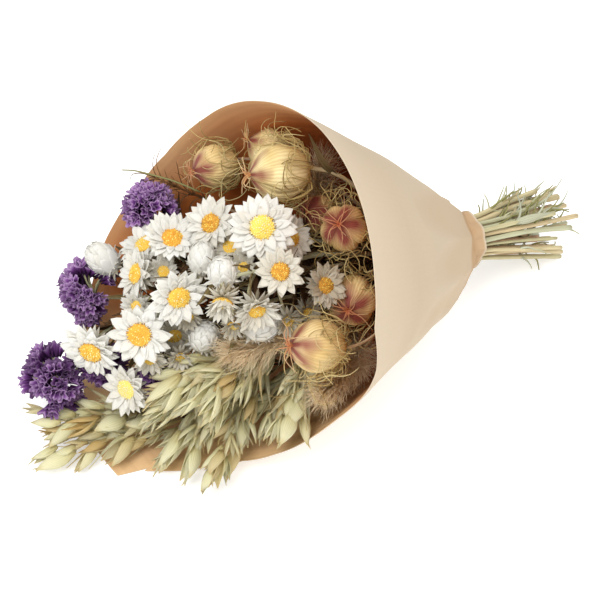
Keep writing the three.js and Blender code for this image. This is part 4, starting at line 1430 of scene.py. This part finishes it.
def mist_of(head):
    """The threads round a pod, which start under it and wander off."""
    chance, r, copies = head.random, head.size, []
    for k in range(THREADS):
        angle = 2 * math.pi * k / THREADS + chance.uniform(-0.2, 0.2)
        side, across = round_way(head, angle), round_way(head, angle + math.pi / 2)
        swirl = chance.uniform(-0.9, 0.9)
        out = chance.uniform(1.05, 1.3)
        bow = [head.centre - head.way * r * 1.08]
        bow += [head.centre - head.way * r * 0.85 + side * r * out * 0.85]
        bow += [head.centre - head.way * r * 0.1 + (side + across * swirl * 0.5) * r * out]
        onwards = (head.way * chance.uniform(0.2, 1) + across * swirl).normalized()
        tip = thread(bow[-1], onwards, r * chance.uniform(0.9, 2.1), 0.65, chance, 7)
        line = kept_within_paper(smooth(bow + tip[1:], 2))
        if len(line) >= SHORTEST_THREAD:
            strand = tube(line, np.linspace(0.3, 0.16, len(line)) * MM, 4)
            copies.append((strand, None, chance.random()))
    return copies


print("a pod has up to", THREADS, "threads of mist")

# %% [markdown]
# The pods differ in how ripe they are: green straw at first, redder later. A pod is three pieces,
# its balloon, its horns and its mist, because each has a finish of its own.

# %% Plant the pods
RIPENESS = [0.05, 0.55, 0.1, 0.7, 0.8, 0.6, 0.5]
pod_pieces = []
for head, ripe in zip(pods, RIPENESS):
    body = [(balloon, head.pose(head.random.uniform(0, 6)), ripe)]
    horns = horns_of(head, ripe)
    mist = mist_of(head)
    pod_pieces.append(plant(head.name + "_balloon", POD, body, [head.name]))
    pod_pieces.append(plant(head.name + "_horns", HORN, horns, [head.name]))
    pod_pieces.append(plant(head.name + "_mist", MIST, mist, [head.name]))
print("pods:", triangles(*pod_pieces), "triangles")

# %% [markdown]
# ## Oats
#
# An oat spikelet hangs from a thin stalk: two broad pointed husks that part at the tip, with
# slimmer ones between them. All are blades of unit length, like the petals, only more hollow.
# Narrow straws between the spikelets stand for the thin leaves of the spray.


# %% Husks, grain and straws
def bowed_husk(t):
    """How far an even husk bends, at a share of its length."""
    return -0.12 * math.sin(3.0 * t)


def drooping_husk(t):
    """How far a husk bends whose tip hangs down, at a share of its length."""
    return -0.09 * math.sin(2.8 * t) - 0.03 * t * t


husks = [
    blade(tapered(0.42, 0.42, 0.25, 1.5), bowed_husk, 0.62, (6, 8), 0.01),
    blade(tapered(0.38, 0.46, 0.25, 1.4), drooping_husk, 0.7, (6, 8), 0.01),
]
grain = blade(tapered(0.2, 0.4, 0.4, 1.3), lambda t: 0.04 * math.sin(3.0 * t), 0.8, (2, 6), 0.014)
straws = [
    blade(tapered(0.10, 0.35, 0.6, 1.3), lambda t: 0.2 * t * t, 0.5, (2, 7), 0.006),
    blade(tapered(0.07, 0.30, 0.6, 1.3), lambda t: 0.12 * math.sin(4 * t), 0.5, (2, 7), 0.006),
]
print("a husk has", len(husks[0].lengths), "faces and a grain", len(grain.lengths))

# %% [markdown]
# A spray is a line from its foot to its tip, and things grow along it. A husk that points down
# near the table would sink into it, so its direction is lifted first.


# %% Places and directions on a spray
CLEARANCE = 4 * MM


def along_spray(head, share):
    """A place on a spray, from its foot at 0 to its tip at 1."""
    return head.centre + head.way * head.size * (share - 1)


def clear_of_table(foot, way, long):
    """The way, lifted where its tip would sink into the table."""
    sunk = CLEARANCE - (foot + way * long).z
    return (way + Vector((0, 0, max(0, sunk) / long))).normalized()


def husk_at(foot, way, spin, opened, scale):
    """The matrix of a husk that stands along a way and leans open from it."""
    upright = Matrix.Rotation(math.radians(90) - opened, 4, "X")
    return pose(foot, way, spin) @ upright @ Matrix.Scale(scale, 4)


print("the tip of the first spray is at", along_spray(oats[0], 1)[:])

# %% [markdown]
# In the photo the oats at the top make one close mass, so three short side sprays thicken it.
# A row names the stem that the spray leaves, its tip on the display face, its turn and nod, and
# its length in mm.

# %% Side sprays
SIDE_SPRAYS = [
    ("oat_03", (-57, -42, -14), (-70, -25), 38),
    ("oat_04", (-38, -48, -4), (-50, -35), 42),
    ("oat_05", (-12, -57, -36), (-45, -50), 36),
]
side_sprays = []
for i, (_, tip, (turn, nod), size) in enumerate(SIDE_SPRAYS, 1):
    side_sprays.append(Head(f"oat_side_{i:02d}", on_face(*tip), face_way(turn, nod), size * MM))
print("side sprays:", ", ".join(head.name for head in side_sprays))

# %% [markdown]
# The spikelets leave the stalk on all sides and droop. Each hangs from a short bowed thread and
# has two outer husks, one on either side, and three grains between them. They gape more or less
# and are greener or browner, as each falls open on its own when it dries.

# %% One spikelet
SPIKELETS = 19
SPIKELET_LENGTH = 27 * MM
GRAIN_ANGLES = (1.2, 3, 4.6)
DROOP = Vector((0, 0, -0.25))


def spikelet(head, k, filled):
    """The husks and grains of one spikelet, and the thread that it hangs from."""
    chance, copies = head.random, []
    root = along_spray(head, filled * (k + chance.uniform(-0.4, 0.6)) / SPIKELETS)
    out = leaning(head.way, chance.uniform(0.3, 1.4), k * 2.3 + chance.uniform(-0.8, 0.8))
    way = leaning(head.way, chance.uniform(0.1, 0.8), chance.uniform(*ANY_SIDE))
    way = (way + out * 0.5 + DROOP).normalized()
    long = SPIKELET_LENGTH * chance.uniform(0.55, 1.05)
    hang = root + out * chance.uniform(2, 10) * MM
    way = clear_of_table(hang, way, long)
    bow = smooth([root, root.lerp(hang, 0.5) + Vector((0, 0, 0.8 * MM)), hang], 2)
    spin = chance.uniform(0, 2 * math.pi)
    tint = chance.random() ** 3
    gape = chance.uniform(0.06, 0.3)
    for side, opened, scale in ((0, gape, 0.86), (math.pi, gape * 0.7, 0.8)):
        matrix = husk_at(hang, way, spin + side, opened, long * scale)
        copies.append((chance.choice(husks), matrix, tint + chance.uniform(0, 0.2)))
    for side in GRAIN_ANGLES:
        matrix = husk_at(hang, way, spin + side, 0.05, long * chance.uniform(0.6, 1.0))
        copies.append((grain, matrix, tint + chance.uniform(0.1, 0.5)))
    return copies, (tube(bow, 0.26 * MM, 4), None, 0.5)


print("a spray has", SPIKELETS, "spikelets")

# %% [markdown]
# A spray is its spikelets with some straws between them, on a stalk that thins to its tip. Two
# sprays are filled only partly, so that the rim of the paper stays in view beside them, as in
# the photo. The side sprays get a longer stalk, which forks from the stem that carries them.

# %% Plant the oats
STRAWS = 20
FILLED_SHARE = {"oat_04": 0.82, "oat_06": 0.74}
oat_pieces = []
for head in [*oats, *side_sprays]:
    chance = head.random
    stood_for = [head.name] if head.name in nodes else []
    filled = FILLED_SHARE.get(head.name, 1)
    copies, stalks = [], []
    for k in range(SPIKELETS):
        parts, hanger = spikelet(head, k, filled)
        copies += parts
        stalks.append(hanger)
    for _ in range(STRAWS):
        root = along_spray(head, filled * chance.uniform(0, 0.6))
        long = chance.uniform(16, 34) * MM
        way = leaning(head.way, chance.uniform(0.1, 0.7), chance.uniform(*ANY_SIDE))
        way = clear_of_table(root, way, long)
        matrix = husk_at(root, way, chance.uniform(*ANY_SIDE), 0, long)
        copies.append((chance.choice(straws), matrix, chance.uniform(0.2, 1)))
    oat_pieces.append(plant(head.name + "_husks", HUSK, copies, stood_for))
    spine = [along_spray(head, filled * s) for s in (0, 0.5, 1)]
    if not stood_for:
        host = SIDE_SPRAYS[side_sprays.index(head)][0]
        fork = routes[host][4]
        spine = [fork, fork.lerp(spine[0] - head.way * 12 * MM, 0.6), *spine]
    spine = smooth(spine, 4)
    stalks.append((tube(spine, np.linspace(0.8, 0.3, len(spine)) * MM, 6), None, 0.4))
    oat_pieces.append(plant(head.name + "_stalks", STEM, stalks, stood_for))
print("oats:", triangles(*oat_pieces), "triangles")

# %% [markdown]
# ## Grasses
#
# A plume is soft because it is hundreds of fine bristles, each leaning away from the stalk. A
# bristle is a tube of three sides with one bend, and one that would pass through the paper is
# left out. The bristles are longest halfway up the plume.

# %% Plumes
BRISTLES = [900, 900, 1000, 400]
grass_pieces = []
for head, bristles in zip(plumes, BRISTLES):
    chance = head.random
    hairs = []
    for _ in range(bristles):
        share = chance.random()
        root = along_spray(head, share)
        way = leaning(head.way, chance.uniform(0.2, 1.3), chance.uniform(0, 2 * math.pi))
        long = (11 + 10 * math.sin(math.pi * share)) * MM * chance.uniform(0.7, 1.3)
        bent = root + way * long * 0.5
        tip = bent + leaning(way, 0.4, chance.uniform(0, 6)) * long * 0.5
        if not within_paper(tip, MM):
            continue
        hair = tube([root, bent, tip], np.array([0.14, 0.12, 0.04]) * MM, 3)
        hairs.append((hair, None, chance.random()))
    spine = [along_spray(head, s) for s in (0, 0.5, 1)]
    hairs.append((tube(spine, np.array([0.9, 0.7, 0.3]) * MM, 6), None, 0.8))
    grass_pieces.append(plant(head.name + "_bristles", PLUME, hairs, [head.name]))
print("plumes:", triangles(*grass_pieces), "triangles")

# %% [markdown]
# The curled grass has a thin stalk with brown threads that leave it in a spiral and curl. One
# stiff twig stands out past the left edge of the paper, along five places on the display face.

# %% The curled grass
CURLED_THREADS = 34
chance = curled_grass.random
stalk = [along_spray(curled_grass, s) for s in (0, 0.5, 1)]
threads = [(tube(stalk, np.array([0.7, 0.5, 0.3]) * MM, 5), None, 0.6)]
for k in range(CURLED_THREADS):
    root = along_spray(curled_grass, (k + 0.5) / CURLED_THREADS)
    way = leaning(curled_grass.way, 0.5, k * GOLDEN)
    line = smooth(thread(root, way, chance.uniform(12, 22) * MM, 0.4, chance, 6), 2)
    threads.append((tube(line, np.linspace(0.36, 0.16, len(line)) * MM, 4), None, chance.random()))
grass_pieces.append(plant("curled_grass_threads", BROWN, threads, ["curled_grass"]))

TENDRIL = [(-87, 63, -34), (-80, 62.5, -34), (-70, 60, -36), (-60, 57, -38), (-48, 52, -40)]
tendril = smooth([on_face(*place) for place in TENDRIL])
tendril = [(tube(tendril, np.linspace(0.35, 0.6, len(tendril)) * MM, 6, 0.1), None, 1)]
grass_pieces.append(plant("curled_grass_tendril", STEM, tendril))
print("grasses:", triangles(*grass_pieces), "triangles")

# %% [markdown]
# ## Stems, leaves and undergrowth
#
# The stems run from under the heads through the neck and fan out again behind it. They are
# ribbed, of many dry greens and browns. Each follows the route that was read from the packed
# solid, with a small kink at its cut end and slight knots along it. Radii are in mm.

# %% The stems
STEM_RADIUS = {"daisy": 1.2, "bud": 1.15, "lavender": 1.45, "pod": 1.5, "oat": 1.1}
STEM_RADIUS |= {"plume": 1.0, "curled": 1.0}
STEM_TINT = {"daisy": 0.35, "bud": 0.25, "lavender": 0.05, "pod": 0.7, "oat": 0.5}
STEM_TINT |= {"plume": 0.6, "curled": 0.9}
SPRAYS = ("oat", "plume", "curled")
all_heads = [*daisies, *buds, *lavenders, *pods, *oats, *plumes, curled_grass]
heads_by_name = {head.name: head for head in all_heads}
stem_pieces, stem_lines = [], {}
for name, route in routes.items():
    head, kind = heads_by_name[name], name.split("_")[0]
    chance = random.Random("stem " + name)
    start = head.centre - head.way * head.size * (1 if kind in SPRAYS else 0.2)
    aside = leaning(AXIS, 5, chance.uniform(*ANY_SIDE)) * chance.uniform(0.5, 2.5) * MM
    kink = (route[0] + route[1]) / 2 + aside
    line = smooth([route[0], kink, *route[1:], start], 6)
    thick = STEM_RADIUS[kind] * MM * chance.uniform(0.7, 1.35)
    knots = np.array([1 + 0.06 * math.sin(i * 1.7) for i in range(len(line))])
    radii = np.linspace(thick, thick * 0.55, len(line)) * knots
    tint = min(1, max(0, STEM_TINT[kind] + chance.uniform(-0.3, 0.3)))
    stem_lines[name] = line
    stem = (tube(line, radii, 10, 0.08), None, tint)
    stem_pieces.append(plant(name + "_stem", STEM, [stem], [name]))
print("stems:", triangles(*stem_pieces), "triangles")

# %% [markdown]
# Narrow withered leaves and wiry side twigs cling to the stems and make the dark undergrowth
# between the flowers; their darkest browns are painted shade for the gaps there. They grow at
# random, so each is tested first: it may not show in front of a flower or pass through the paper.


# %% Places that flowers leave free
def clear_of_flowers(point):
    """Whether a point stays behind every flower's face and outside its disc, egg or pod."""
    for head in [*daisies, *buds, *pods, *lavenders]:
        beside = point - head.centre
        behind = beside.dot(head.way) < -2 * MM and head.name.startswith("daisy")
        reach = head.size * (1.5 if head.name.startswith("bud") else 1.1)
        if not behind and beside.length < reach:
            return False
    return True


leaf_forms = [
    blade(tapered(0.22, 0.35, 0.5, 1.5), lambda t: 0.25 * t * t, 0.6, (2, 6), 0.008),
    blade(tapered(0.15, 0.40, 0.5, 1.5), lambda t: 0.15 * math.sin(4 * t), 0.8, (2, 6), 0.008),
]
print("a withered leaf has", len(leaf_forms[0].lengths), "faces")

# %% [markdown]
# Leaves and twigs take turns along the upper part of each stem. Daisies have the most, pods and
# plumes hardly any. Those of one stem are one piece, which belongs to that stem's flower.

# %% Leaves and twigs between the flowers
GROWTH = {"daisy": 44, "bud": 44, "lavender": 26, "pod": 2, "oat": 20, "plume": 2, "curled": 6}
leaf_pieces = []
for name, line in stem_lines.items():
    kind = name.split("_")[0]
    chance = random.Random("leaves " + name)
    growth = []
    for k in range(GROWTH[kind]):
        i = int(chance.uniform(0.5, 0.9) * (len(line) - 2))
        onwards = (line[i + 1] - line[i]).normalized()
        way = leaning(onwards, chance.uniform(0.4, 1.2), chance.uniform(*ANY_SIDE))
        long = chance.uniform(12, 26) * MM
        clear = all(clear_of_flowers(line[i] + way * long * share) for share in (0.5, 0.75, 1))
        if not clear or not within_paper(line[i] + way * long * 1.1):
            continue
        if k % 2 == 0:
            matrix = husk_at(line[i], way, chance.uniform(*ANY_SIDE), 0, long)
            growth.append((chance.choice(leaf_forms), matrix, chance.random()))
            continue
        line_of_twig = smooth(thread(line[i], way, long, 0.25, chance, 4), 2)
        twig = tube(line_of_twig, np.linspace(0.5, 0.2, len(line_of_twig)) * MM, 4)
        growth.append((twig, None, chance.random()))
    leaf_pieces.append(plant(name + "_leaves", LEAF_AND_SHADE, growth, [name]))
print("leaves and twigs:", triangles(*leaf_pieces), "triangles")

# %% [markdown]
# Where the stems were cut, bits of side twigs and leaves are left on them. The stems on the upper
# side of the bundle have more and longer ones, as the photo shows.

# %% Wiry remnants on the cut ends
UPPER_SIDE = 12 * MM
LEAF_SHARE = 0.12
remnants = []
chance = random.Random("remnants")
for name, line in stem_lines.items():
    upper = (line[0] - NECK).dot(FACE_UP) > UPPER_SIDE
    for _ in range(chance.choice((6, 8, 10) if upper else (0, 1, 2, 3))):
        i = int(chance.uniform(0.03, 0.2 if upper else 0.16) * len(line))
        outwards = (line[0] - line[6]).normalized()
        way = leaning(outwards, chance.uniform(0.1, 0.6), chance.uniform(*ANY_SIDE))
        way = (way + FACE_UP * 0.3).normalized()
        long = chance.uniform(8, 22 if upper else 14) * MM
        if (line[i] + way * long).z < 2 * MM:
            continue
        if chance.random() < LEAF_SHARE:
            matrix = husk_at(line[i], way, chance.uniform(*ANY_SIDE), 0, long)
            remnants.append((chance.choice(leaf_forms), matrix, chance.uniform(0, 0.6)))
            continue
        twig = smooth(thread(line[i], way, long, 0.3, chance, 4), 3)
        tint = chance.choice((0, 0.2, 1, 1))
        remnants.append((tube(twig, np.linspace(0.75, 0.3, len(twig)) * MM, 5), None, tint))
leaf_pieces.append(plant("cut_end_twigs", STEM, remnants))
print("remnants:", triangles(leaf_pieces[-1]), "triangles")

# %% [markdown]
# The string that ties the stems is a few turns of jute twine just inside the paper's neck. It is
# a tube along a helix; the ribs of its cross-section and its finish stand for the twisted strands.

# %% The string
TIE_FROM_NECK = 7.5 * MM
TIE_RADIUS = 13.9 * MM
TIE_WIDTH = 3.6 * MM
TURNS = 4
STEPS_A_TURN = 24
turns = []
for i in range(TURNS * STEPS_A_TURN + 1):
    angle = 2 * math.pi * i / STEPS_A_TURN
    along = TIE_FROM_NECK + TIE_WIDTH * (i / (TURNS * STEPS_A_TURN) - 0.5)
    out = DOWN * math.cos(angle) + SIDE * math.sin(angle)
    turns.append(NECK + AXIS * along + out * TIE_RADIUS)
twine = [(tube(turns, 0.6 * MM, 8, 0.1), None, 0.4)]
string = plant("stem_string_twine", TWINE, twine, ["stem_string"])
print("string:", triangles(string), "triangles")

# %% [markdown]
# ## The paper
#
# One sheet of kraft paper, rolled once round. It is modelled as it is made: a flat grid is laid
# out and every corner is carried to its place on the cone. Where a hand gathered the sheet at the
# neck it buckled into a few flat facets: each is a plane, and whatever stands out past the plane is
# pressed back onto it. A cloth simulation could fold it too, but these folds have to lie where
# the photo shows them.

# %% The folds of the sheet
FACETS = [
    ((57, 165), (10, 128), (10, 200)),
    ((62, 203), (12, 174), (12, 236)),
    ((44, 78), (12, 50), (12, 104)),
    ((42, 322), (12, 296), (12, 348)),
    ((70, 122), (32, 104), (32, 138)),
]
DEEPEST_FACET = 5 * MM
WAVES, WAVE_HEIGHT = 9, 0.1 * MM
chance = random.Random("paper")
waves = []
for _ in range(WAVES):
    waves.append((chance.uniform(*ANY_SIDE), chance.randint(3, 13), chance.uniform(2, 9)))


def beside_axis(along, radius, angle):
    """A point at a distance along the axis and a radius and angle round it."""
    out = DOWN * cosine(angle) + SIDE * math.sin(math.radians(angle))
    return NECK + AXIS * along + out * radius


def facet_plane(places):
    """The plane through three places on the cone: a point on it, and the way it faces."""
    at_mm = [(along * MM, angle) for along, angle in places]
    a, b, c = (beside_axis(along, cone_radius(along, angle), angle) for along, angle in at_mm)
    out = (b - a).cross(c - a).normalized()
    outwards = a - NECK - AXIS * (a - NECK).dot(AXIS)
    return a, out if out.dot(outwards) > 0 else -out


planes = [facet_plane(places) for places in FACETS]


def pressed_flat(point):
    """The point pressed onto the facets, and how far it was pressed."""
    pressed = 0
    for corner, out in planes:
        over = min((point - corner).dot(out), DEEPEST_FACET)
        if over > 0:
            point = point - out * over
            pressed += over
    return point, pressed


def unevenness(share, station):
    """The gentle bumps of a sheet that has been handled."""
    return WAVE_HEIGHT * sum(math.sin(p + a * share * 6.3 + b * station) for p, a, b in waves)


print("the paper has", len(planes), "facets and", len(waves), "gentle waves")

# %% [markdown]
# The sheet's columns go round the cone and its rows, the stations, lie along it. They run from 0
# at the shoulder to 1 at the rim; the negative ones lie behind the shoulder, in metres. Towards
# the neck the two edges lap further. The collar behind the pinch is pleated.

# %% Where each corner of the sheet goes
FIRST_ANGLE, LAST_ANGLE = RIM_ANGLES[0], RIM_ANGLES[-1]
LAP_AT_NECK = 60
BEHIND = [-8.5 * MM, -7.9 * MM, -7 * MM, -5.5 * MM, PINCH_ALONG, -3 * MM, -1.5 * MM]
STATIONS = BEHIND + list(np.linspace(0, 1, 57))
PLEATS, PLEAT_SWAY = 7, 9
PLEAT_DEPTH, PLEAT_INSET, PLEAT_REACH = 4.4 * MM, 1.3 * MM, 2 * MM
RIM_WIDTH = 1.2 * MM
# How dark the folds are painted: painted shade on the pressed facets, in the fold behind the shoulder
# and on the collar, whose rim stays light.
FACET_SHADE, MOST_FACET_SHADE, COLLAR_SHADE = 0.2, 0.3, 0.9


def sheet_corner(share, station):
    """The place of a corner of the sheet, its angle round the axis, and how much painted shade it gets
    in the folds.
    """
    rim_angle = FIRST_ANGLE + (LAST_ANGLE - FIRST_ANGLE) * share
    angle = rim_angle + (share - 0.5) * LAP_AT_NECK * (1 - max(0, station))
    foot = shoulder_along(angle)
    lap = (angle - FIRST_ANGLE) / 360 * (PAPER + LAP_GAP) + PAPER / 2
    if station >= 0:
        along = foot + (rim_along(rim_angle) - foot) * station
        round_cone = beside_axis(along, paper_radius(along, angle) + lap, angle)
        point, pressed = pressed_flat(round_cone)
        point += (point - NECK - AXIS * along).normalized() * unevenness(share, 3 * station)
        return point, angle, min(MOST_FACET_SHADE, FACET_SHADE * pressed / MM)
    if station > PINCH_ALONG:
        along = PINCH_ALONG + (foot - PINCH_ALONG) * (1 - station / PINCH_ALONG)
        round_cone = beside_axis(along, paper_radius(along, angle) + lap, angle)
        return pressed_flat(round_cone)[0], angle, 1
    swayed = angle + PLEAT_SWAY * cosine(2 * angle)
    pleat = abs(math.asin(cosine(swayed * PLEATS / 2))) / math.pi
    radius = paper_radius(station, angle) + pleat * PLEAT_DEPTH - PLEAT_INSET
    point = beside_axis(station + PLEAT_REACH * pleat, radius + lap, angle)
    return point, angle, 0 if station < BEHIND[0] + RIM_WIDTH else COLLAR_SHADE


print("the sheet has", len(STATIONS), "stations,", len(BEHIND), "of them behind the shoulder")

# %% [markdown]
# The flat grid is now rolled up. Where its first edge lies on the last one, under the cone, it
# rests a little higher. Two values are stored on the points for the finish: fold, for the painted
# shade in the folds, and depth, for the painted light and shade that reaches the inside.

# %% Roll the sheet
SHEET_ROUND = 216
LAP_RESTS, LAP_STEP = 12, 6
LIT_FROM_NECK = 150 * MM
TABLE_LIGHT = 0.3
FLOWER_SHADE, SHADED_ANGLE = 0.5, 308
clear_selection()
bpy.ops.mesh.primitive_grid_add(x_subdivisions=SHEET_ROUND, y_subdivisions=len(STATIONS) - 1, size=1)
paper = bpy.context.object
paper.name = "paper_wrap_sheet"
fold, depth = [], []
for vertex in paper.data.vertices:
    share = vertex.co.x + 0.5
    station = STATIONS[round((vertex.co.y + 0.5) * (len(STATIONS) - 1))]
    point, angle, fold_shade_share = sheet_corner(share, station)
    # The fold value says how much painted shade the sheet gets here.
    fold.append(fold_shade_share)
    on_lap = min(1, max(0, (FIRST_ANGLE + LAP_RESTS - angle) / LAP_STEP)) * (PAPER + LAP_GAP)
    point.z = max(point.z, on_lap + PAPER / 2)
    vertex.co = point
    # Painted light on the lower side, and painted shade on the side behind the flowers.
    lit = TABLE_LIGHT * max(0, cosine(angle))
    lit -= FLOWER_SHADE * max(0, cosine(angle - SHADED_ANGLE)) ** 8
    depth.append(min(1, max(0, (point - NECK).dot(AXIS) / LIT_FROM_NECK + lit)))
paper.data.attributes.new("fold", "FLOAT", "POINT").data.foreach_set("value", fold)
paper.data.attributes.new("depth", "FLOAT", "POINT").data.foreach_set("value", depth)
print("the sheet has", len(paper.data.polygons), "faces before it gets its wall")

# %% [markdown]
# Kraft paper is pale outside. Inside the cone, light bounces round from paper to paper and turns
# it a deeper orange brown towards the neck. Counting on the renderer for that would need many
# more bounces, so the colours run along the stored depth, as painted light and shade. The depth
# also paints the lower side lighter, for the light from the table, and the side behind the
# flowers darker, for their shade, on the outside as on the inside.


# %% Kraft paper
def kraft_finish(name, near, midway, far, fold_shade_tone, wrinkle_shade_and_relief):
    """Kraft paper whose colour runs from deep in the cone, past midway, to the rim, as painted light and
    shade.
    """
    finish = Finish(name, {"Specular IOR Level": 0.2})
    across, _ = finish.across_and_along()
    depth, fold = finish.attribute("depth"), finish.attribute("fold")
    sheet = finish.node("UVMap", {"uv_map": "UVMap"})
    laid = finish.stripes(across, 150)
    fibres = finish.noise(1400, 4, stretch=(0.3, 1, 1))
    clouds = finish.noise(24, 3)
    streaks = finish.noise(1, 3, stretch=(5, 26, 1), place=sheet)
    body = finish.ramp(depth, (0.15, tone(*near)), (0.66, tone(*midway)), (0.95, tone(*far)))
    # Soft wrinkles are painted towards the deep colour: painted shade along them, beside their relief.
    body = finish.mix(finish.between(streaks, 0.35, 0.75) * wrinkle_shade_and_relief, body, tone(*near))
    # Painted shade in the folds, from the fold value.
    body = finish.mix(fold, body, tone(*fold_shade_tone))
    body = finish.mix(laid * 0.012 + fibres * 0.1, body, tone(150, 112, 74))
    finish.color(finish.mix(clouds * 0.12, body, tone(*near)))
    finish.roughness(0.7 + fibres * 0.15)
    finish.relief(laid * 0.03 + fibres * 0.3 + clouds * 3 + streaks * 4 * wrinkle_shade_and_relief, 0.12 * MM)
    return finish.material


# The first three colours of each list are painted light and shade along the depth, the fourth the
# painted shade of the folds.
PALE = [(197, 181, 157), (193, 175, 149), (205, 188, 163), (182, 150, 114)]
DEEP = [(130, 44, 12), (206, 120, 58), (250, 212, 160), (150, 90, 50)]
OUTSIDE = kraft_finish("kraft_paper", *PALE, 0.15)
INSIDE = kraft_finish("kraft_paper_inside", *DEEP, 0.3)
print("the outside has", len(OUTSIDE.node_tree.nodes), "nodes")

# %% [markdown]
# The sheet gets a real wall, because a face without one shows the same material on both sides.
# The solidify modifier thickens it and gives the faces of one side the second material, so the
# faces are first turned to look outwards.

# %% The wall of the sheet
SHEET_WALL = 0.4 * MM
CREASE_ANGLE = 9
paper.data.materials.append(OUTSIDE)
paper.data.materials.append(INSIDE)
face = paper.data.polygons[len(paper.data.polygons) // 2]
from_axis = face.center - (NECK + AXIS * (face.center - NECK).dot(AXIS))
if face.normal.dot(from_axis) < 0:
    paper.data.flip_normals()
finish_with(paper, "SOLIDIFY", thickness=SHEET_WALL, offset=0, material_offset=1)
clear_selection()
paper.select_set(True)
bpy.ops.object.shade_smooth_by_angle(angle=math.radians(CREASE_ANGLE))
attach(paper, "root")
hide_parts("paper_wrap")
print("the paper:", triangles(paper), "triangles")

# %% [markdown]
# ## Floor, light and camera
#
# The floor and the surroundings are white, and the floor glows a little, as a photographer's light
# table does. A plain white world alone would leave the floor grey under the bouquet.

# %% The stage
FLOOR_DROP = 0.2 * MM
FLOOR_GLOW = 0.35
WORLD_LIGHT = 0.72
clear_selection()
bpy.ops.mesh.primitive_plane_add(size=6, location=(0, 0, -FLOOR_DROP))
floor = bpy.context.object
floor.name = "floor"
glow = {"Emission Color": (1, 1, 1, 1), "Emission Strength": FLOOR_GLOW}
floor_finish = Finish("floor_white", {"Roughness": 0.9, "Specular IOR Level": 0.1, **glow})
white, off_white = (0.95, 0.95, 0.95, 1), (0.93, 0.93, 0.93, 1)
floor_finish.color(floor_finish.mix(floor_finish.noise(3), white, off_white))
floor.data.materials.append(floor_finish.material)

world = bpy.data.worlds.new("studio")
bpy.context.scene.world = world
world.use_nodes = True
world.node_tree.nodes["Background"].inputs["Color"].default_value = (1, 1, 1, 1)
world.node_tree.nodes["Background"].inputs["Strength"].default_value = WORLD_LIGHT
bpy.context.scene.view_settings.view_transform = "Standard"
print("the floor is", floor.dimensions.x, "m wide")

# %% [markdown]
# One broad light comes from the upper left and gives the petals their soft shading. A second,
# weaker one from the right keeps the shadows open, as in a photo taken in a white box.


# %% The lights
def soft_light(name, place, size, power):
    """A square light that faces the flowers."""
    data = bpy.data.lights.new(name, "AREA")
    data.size, data.energy = size, power
    light = bpy.data.objects.new(name, data)
    light.location = place
    light.rotation_mode = "QUATERNION"
    light.rotation_quaternion = (Vector(place) - FACE_CENTRE).to_track_quat("Z", "Y")
    bpy.context.scene.collection.objects.link(light)


upper_left = FACE_CENTRE + FACE_OUT * 0.9 - FACE_RIGHT * 0.4 + Vector((0, 0, 0.6))
upper_right = FACE_CENTRE + FACE_OUT * 0.8 + FACE_RIGHT * 0.6 + FACE_UP * 0.6
soft_light("key", upper_left, 0.7, 14)
soft_light("fill", upper_right, 1.0, 5)
print("lights:", [light.name for light in bpy.data.lights])

# %% [markdown]
# The camera looks at the display face. Its direction was fitted to the photo, and its lens is
# long enough for the picture to span 296 mm at the flowers.

# %% The camera
SENSOR_WIDTH = 36
PICTURE_WIDTH = 296 * MM
camera_data = bpy.data.cameras.new("camera")
camera_data.sensor_width = SENSOR_WIDTH
camera_data.lens = SENSOR_WIDTH * FACE_DISTANCE / PICTURE_WIDTH
camera = bpy.data.objects.new("camera", camera_data)
turned = Matrix((FACE_RIGHT, FACE_UP, FACE_OUT)).transposed().to_4x4()
camera.matrix_world = Matrix.Translation(FACE_CENTRE + FACE_OUT * FACE_DISTANCE) @ turned
bpy.context.scene.collection.objects.link(camera)
bpy.context.scene.camera = camera
print("the camera stands", FACE_DISTANCE, "m away with a lens of", round(camera_data.lens), "mm")

# %% [markdown]
